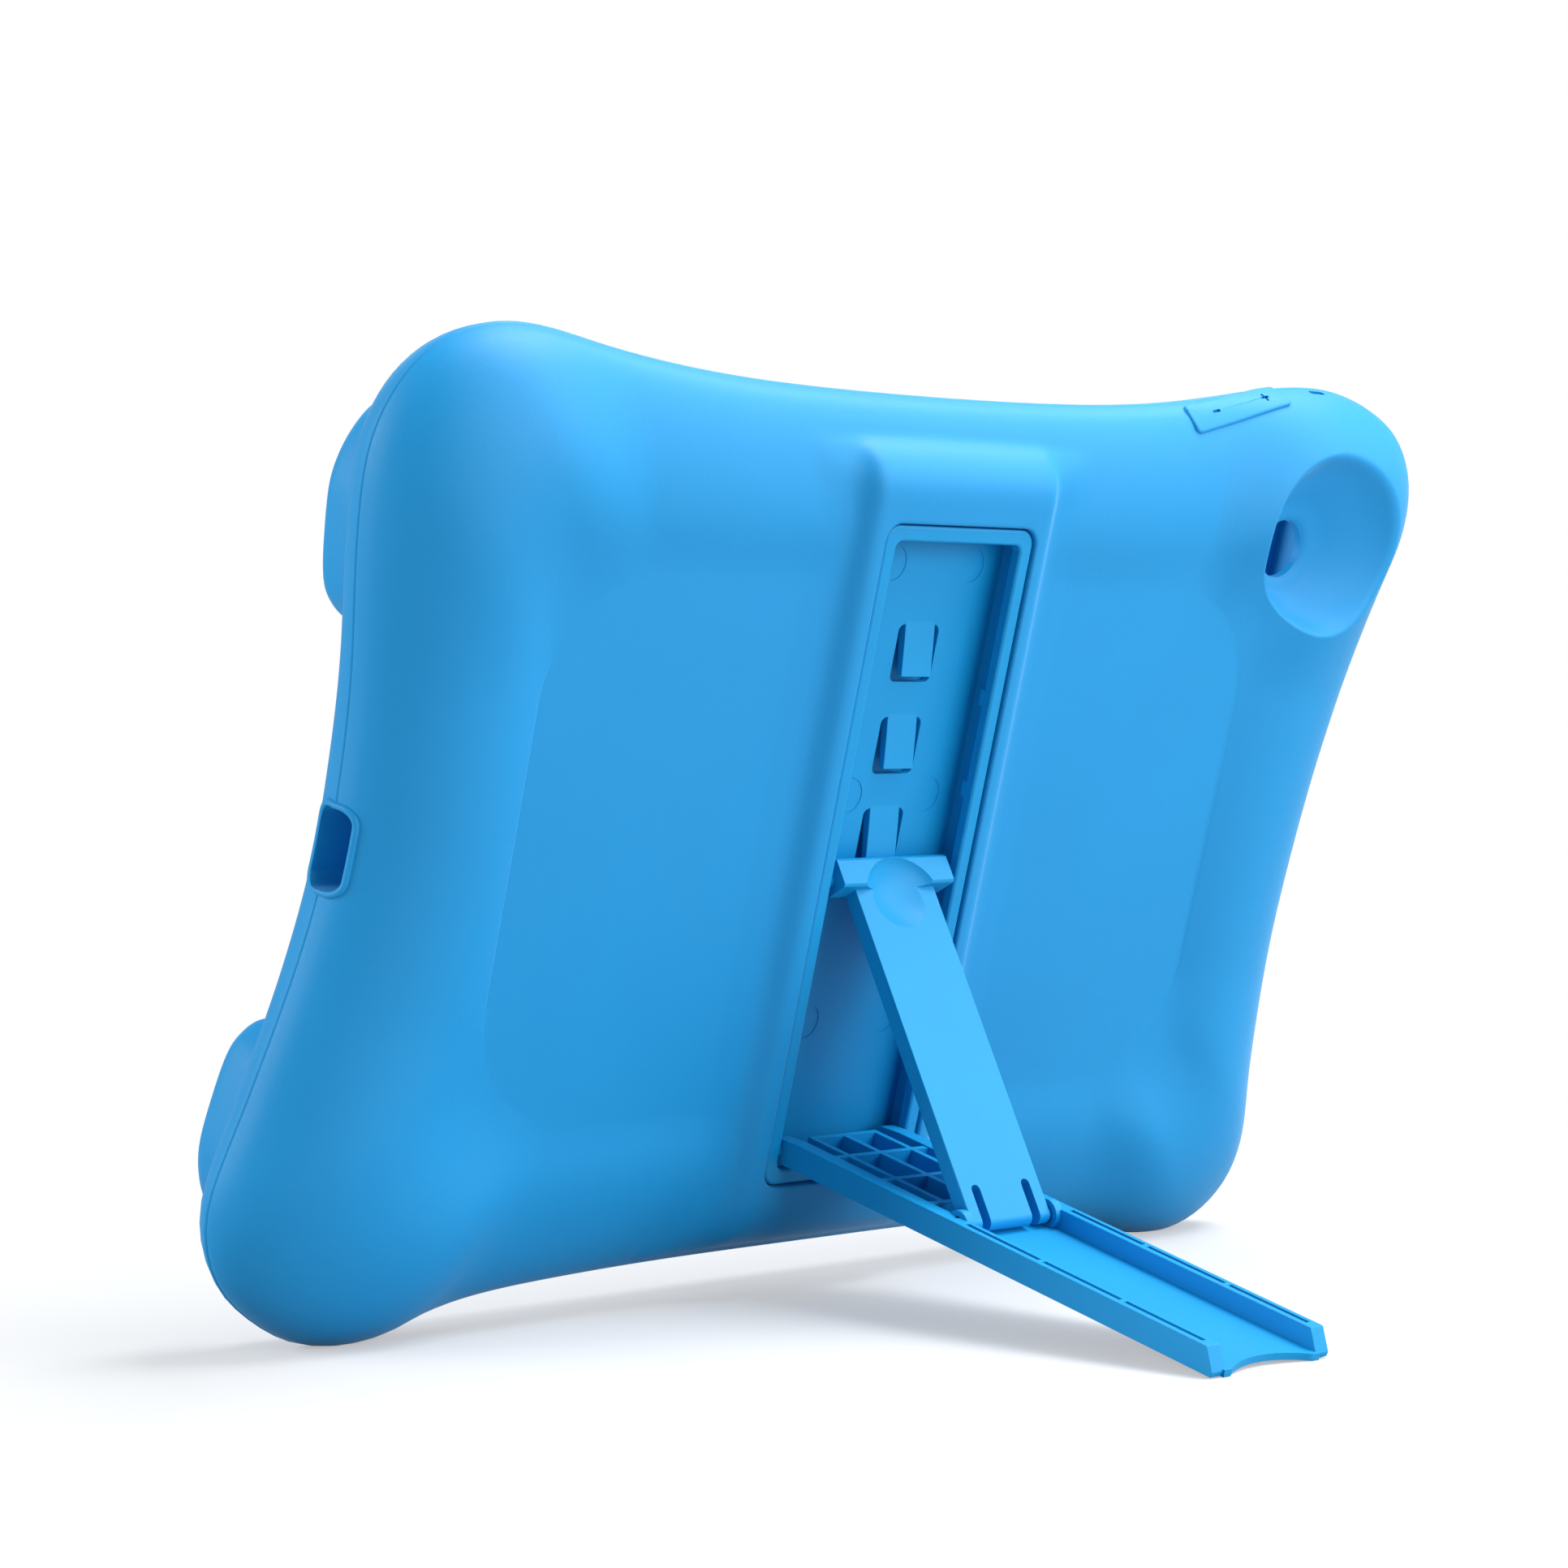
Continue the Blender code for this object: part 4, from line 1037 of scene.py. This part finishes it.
def leg_turn():
    """From the folded leg to its rest slope, about its hinge."""
    return Matrix.Translation((0, HINGE_W, 0)) @ Matrix.Rotation(math.radians(-REST_ANGLE), 4, "X")


def strut_turn():
    """From the strut along the v axis to its pivot on the leg, with its head in the tray's groove."""
    a = math.radians(REST_ANGLE)
    pivot_w = HINGE_W + STRUT_AT[0] * math.sin(a) - STRUT_AT[1] * math.cos(a)
    pivot_v = STRUT_AT[0] * math.cos(a) + STRUT_AT[1] * math.sin(a)
    fall = math.asin((pivot_w - GROOVE_LINE) / STRUT_LONG)
    return Matrix.Translation((0, pivot_w, pivot_v)) @ Matrix.Rotation(fall, 4, "X")


class TABLET_CASE_OT_case_shell(bpy.types.Operator):
    """Build the silicone shell"""
    bl_idname = "tablet_case.case_shell"
    bl_label = "Silicone shell"

    def execute(self, context):
        sizes = settings("shell")
        shell = shell_skin(sizes)
        shape = bmesh.new()
        shape.from_mesh(shell.data)
        tree = BVHTree.FromBMesh(shape)
        shape.free()
        sink_funnel(shell, sizes.funnel_blend / MM)
        for place in HUMPS:
            hump, cup = front_hump(*place)
            join(shell, hump)
            cut(shell, cup)
        join(shell, port_lip(tree, sizes.port_lip / MM), volume_pad(tree, sizes.pad_rise / MM))
        cut(shell, across("port", side_outline(PORT_V, PORT_W, PORT_ROUND, 12), 99.0, 125.8), camera_hole())
        slot = plate("microphone", rounded(2.1, (-0.6, 0.6), 0.55, 6), -1.5, 6.0)
        cut(shell, placed(slot, *MICROPHONE_AT, MICROPHONE_TILT))
        cut(shell, tray_opening(sizes.rim_round / MM))
        recess = rounded(FLANGE_HALF + FIT, (FLANGE_V[0] - FIT, FLANGE_V[1] + FIT), 4.3)
        cut(shell, plate("flange_recess", recess, BACK_WALL, -6.1))
        shell.name = "soft_shell"
        shell.data.transform(case_matrix())
        level = block("floor_cut", (-0.5, 0.5), (-0.5, 0.5), (-0.05, 0.0))
        cut(shell, level)
        if len(shell.data.polygons) < 1000:
            raise RuntimeError("the shell's shapes didn't combine")
        smooth(shell)
        tied(shell, silicone_finish(), "case", "case_shell")
        return {"FINISHED"}


class TABLET_CASE_OT_stand(bpy.types.Operator):
    """Build the stand: tray, leg and strut"""
    bl_idname = "tablet_case.stand"
    bl_label = "Folding stand"

    def execute(self, context):
        for make, turn, body, node in (
            (tray_body, Matrix(), "case", "stand_tray"), (leg_body, leg_turn(), "leg", "stand_leg"),
            (strut_body, strut_turn(), "strut", "stand_strut"),
        ):
            piece = flat_faced(make())
            if len(piece.data.polygons) < 100:
                raise RuntimeError("the shapes of " + node + " didn't combine")
            piece.data.transform(case_matrix() @ turn)
            tied(piece, plastic_finish(), body, node)
        return {"FINISHED"}


def area_light(name, place, target, size, power):
    lamp = bpy.data.lights.new(name, "AREA")
    lamp.shape = "RECTANGLE"
    lamp.size, lamp.size_y = size
    lamp.energy = power
    thing = bpy.data.objects.new(name, lamp)
    thing.location = place
    thing.rotation_euler = (Vector(target) - Vector(place)).to_track_quat("-Z", "Y").to_euler()
    bpy.context.scene.collection.objects.link(thing)
    return thing


def white_floor(colour):
    """A floor that shows the shadows near the case and fades to white for the camera further out."""
    finish = bpy.data.materials.new("white_floor")
    finish.use_nodes = True
    tree = finish.node_tree
    tree.nodes.remove(tree.nodes["Principled BSDF"])
    camera = add_node(tree, "ShaderNodeLightPath").outputs["Is Camera Ray"]
    lift = add_node(tree, "ShaderNodeMath", {0: camera, 1: FLOOR_LIFT}, operation="MULTIPLY")
    matte = add_node(tree, "ShaderNodeBsdfDiffuse", {"Color": (*colour, 1)})
    glow = add_node(tree, "ShaderNodeEmission", {"Strength": lift.outputs[0]})
    near = add_node(tree, "ShaderNodeAddShader", {0: matte.outputs[0], 1: glow.outputs[0]})
    far = add_node(tree, "ShaderNodeEmission", {"Strength": 1.0})
    place = add_node(tree, "ShaderNodeTexCoord").outputs["Object"]
    reach = add_node(tree, "ShaderNodeVectorMath", {0: place}, operation="LENGTH").outputs["Value"]
    fade = add_node(tree, "ShaderNodeMapRange", {
        "From Min": FLOOR_FADE[0], "From Max": FLOOR_FADE[1], "Value": reach,
    }, interpolation_type="SMOOTHSTEP").outputs["Result"]
    share = add_node(tree, "ShaderNodeMath", {0: fade, 1: camera}, operation="MULTIPLY")
    mix = add_node(tree, "ShaderNodeMixShader", {
        0: share.outputs[0], 1: near.outputs[0], 2: far.outputs[0],
    })
    set_inputs(tree, tree.nodes["Material Output"], {"Surface": mix.outputs[0]})
    return finish


def white_world(strength):
    """Even light from all round, which the camera sees as plain white."""
    world = bpy.data.worlds.new("white_world")
    world.use_nodes = True
    tree = world.node_tree
    light = tree.nodes["Background"]
    set_inputs(tree, light, {"Color": (0.93, 0.97, 1.0, 1), "Strength": strength})
    seen = add_node(tree, "ShaderNodeBackground", {"Color": (1, 1, 1, 1), "Strength": 1.0})
    camera = add_node(tree, "ShaderNodeLightPath").outputs["Is Camera Ray"]
    mix = add_node(tree, "ShaderNodeMixShader", {0: camera, 1: light.outputs[0], 2: seen.outputs[0]})
    set_inputs(tree, tree.nodes["World Output"], {"Surface": mix.outputs[0]})
    bpy.context.scene.world = world


# Floor's lift towards white for the camera, and from where to where it fades to white, in metres
FLOOR_LIFT, FLOOR_FADE = 0.42, (0.15, 0.3)
# Lamps: name, place, height that they look at, size and power
LAMPS = (
    ("overhead", (-0.3, 0.16, 0.85), 0.08, (0.7, 0.5), 10.5),
    ("right_softbox", (-0.95, 0.6, 0.6), 0.1, (0.6, 0.6), 4.0),
    ("left_fill", (1.0, -0.5, 0.45), 0.08, (0.6, 0.6), 9.0),
    ("front_softbox", (-0.3, 1.1, 0.32), 0.08, (1.0, 0.8), 10.0),
)
CAMERA_PLACE = (0.46690, 0.44939, 0.10779)
CAMERA_ROUND, CAMERA_DOWN, CAMERA_ROLL = 42.96, 1.52, 0.21


def camera_turn():
    """The camera's turn from its angle round the case, its angle down and its roll, in degrees."""
    a, e, roll = (math.radians(x) for x in (CAMERA_ROUND, CAMERA_DOWN, CAMERA_ROLL))
    back = Vector((math.sin(a) * math.cos(e), math.cos(a) * math.cos(e), math.sin(e)))
    right = Vector((-math.cos(a), math.sin(a), 0.0))
    up = back.cross(right)
    rolled = right * math.cos(roll) + up * math.sin(roll)
    above = up * math.cos(roll) - right * math.sin(roll)
    return Matrix((rolled, above, back)).transposed()


class TABLET_CASE_OT_stage(bpy.types.Operator):
    """Set the floor, the light and the camera"""
    bl_idname = "tablet_case.stage"
    bl_label = "Stage"

    def execute(self, context):
        sizes = settings("stage")
        scene = context.scene
        bpy.ops.mesh.primitive_plane_add(size=12.0, location=(0, 0, 0))
        floor = context.object
        floor.name = "floor"
        floor.data.materials.append(white_floor(sizes.floor))
        white_world(sizes.world)
        for name, place, aim, size, power in LAMPS:
            area_light(name, place, (0, 0, aim), size, power)
        lens = bpy.data.cameras.new("camera")
        lens.sensor_width = 36.0
        lens.lens = sizes.lens
        lens.clip_start, lens.clip_end = 0.01, 50.0
        camera = bpy.data.objects.new("camera", lens)
        camera.matrix_world = Matrix.Translation(CAMERA_PLACE) @ camera_turn().to_4x4()
        scene.collection.objects.link(camera)
        scene.camera = camera
        scene.view_settings.view_transform = "Standard"
        return {"FINISHED"}


class VIEW3D_PT_tablet_case(bpy.types.Panel):
    """Lists the sizes and the building steps"""
    bl_label = "Tablet case"
    bl_space_type = "VIEW_3D"
    bl_region_type = "UI"
    bl_category = "Tablet case"

    def draw(self, context):
        for group in ("shell", "stand", "finish", "stage"):
            box = self.layout.box()
            for name in settings(group).bl_rna.properties.keys():
                if name not in ("rna_type", "name"):
                    box.prop(settings(group), name)
        for step in STEPS:
            self.layout.operator(step.bl_idname)


GROUPS = {
    "shell": TabletCaseShell, "stand": TabletCaseStand,
    "finish": TabletCaseFinish, "stage": TabletCaseStage,
}
STEPS = (TABLET_CASE_OT_stage, TABLET_CASE_OT_case_shell, TABLET_CASE_OT_stand)


def register():
    for group in GROUPS.values():
        bpy.utils.register_class(group)
    for name, group in GROUPS.items():
        setattr(bpy.types.Scene, "tablet_case_" + name, bpy.props.PointerProperty(type=group))
    for step in STEPS:
        bpy.utils.register_class(step)
    bpy.utils.register_class(VIEW3D_PT_tablet_case)


def unregister():
    bpy.utils.unregister_class(VIEW3D_PT_tablet_case)
    for step in reversed(STEPS):
        bpy.utils.unregister_class(step)
    for name in GROUPS:
        delattr(bpy.types.Scene, "tablet_case_" + name)
    for group in reversed(list(GROUPS.values())):
        bpy.utils.unregister_class(group)


def main():
    register()
    bpy.ops.tablet_case.stage()
    bpy.ops.tablet_case.case_shell()
    bpy.ops.tablet_case.stand()


if __name__ == "__main__":
    main()
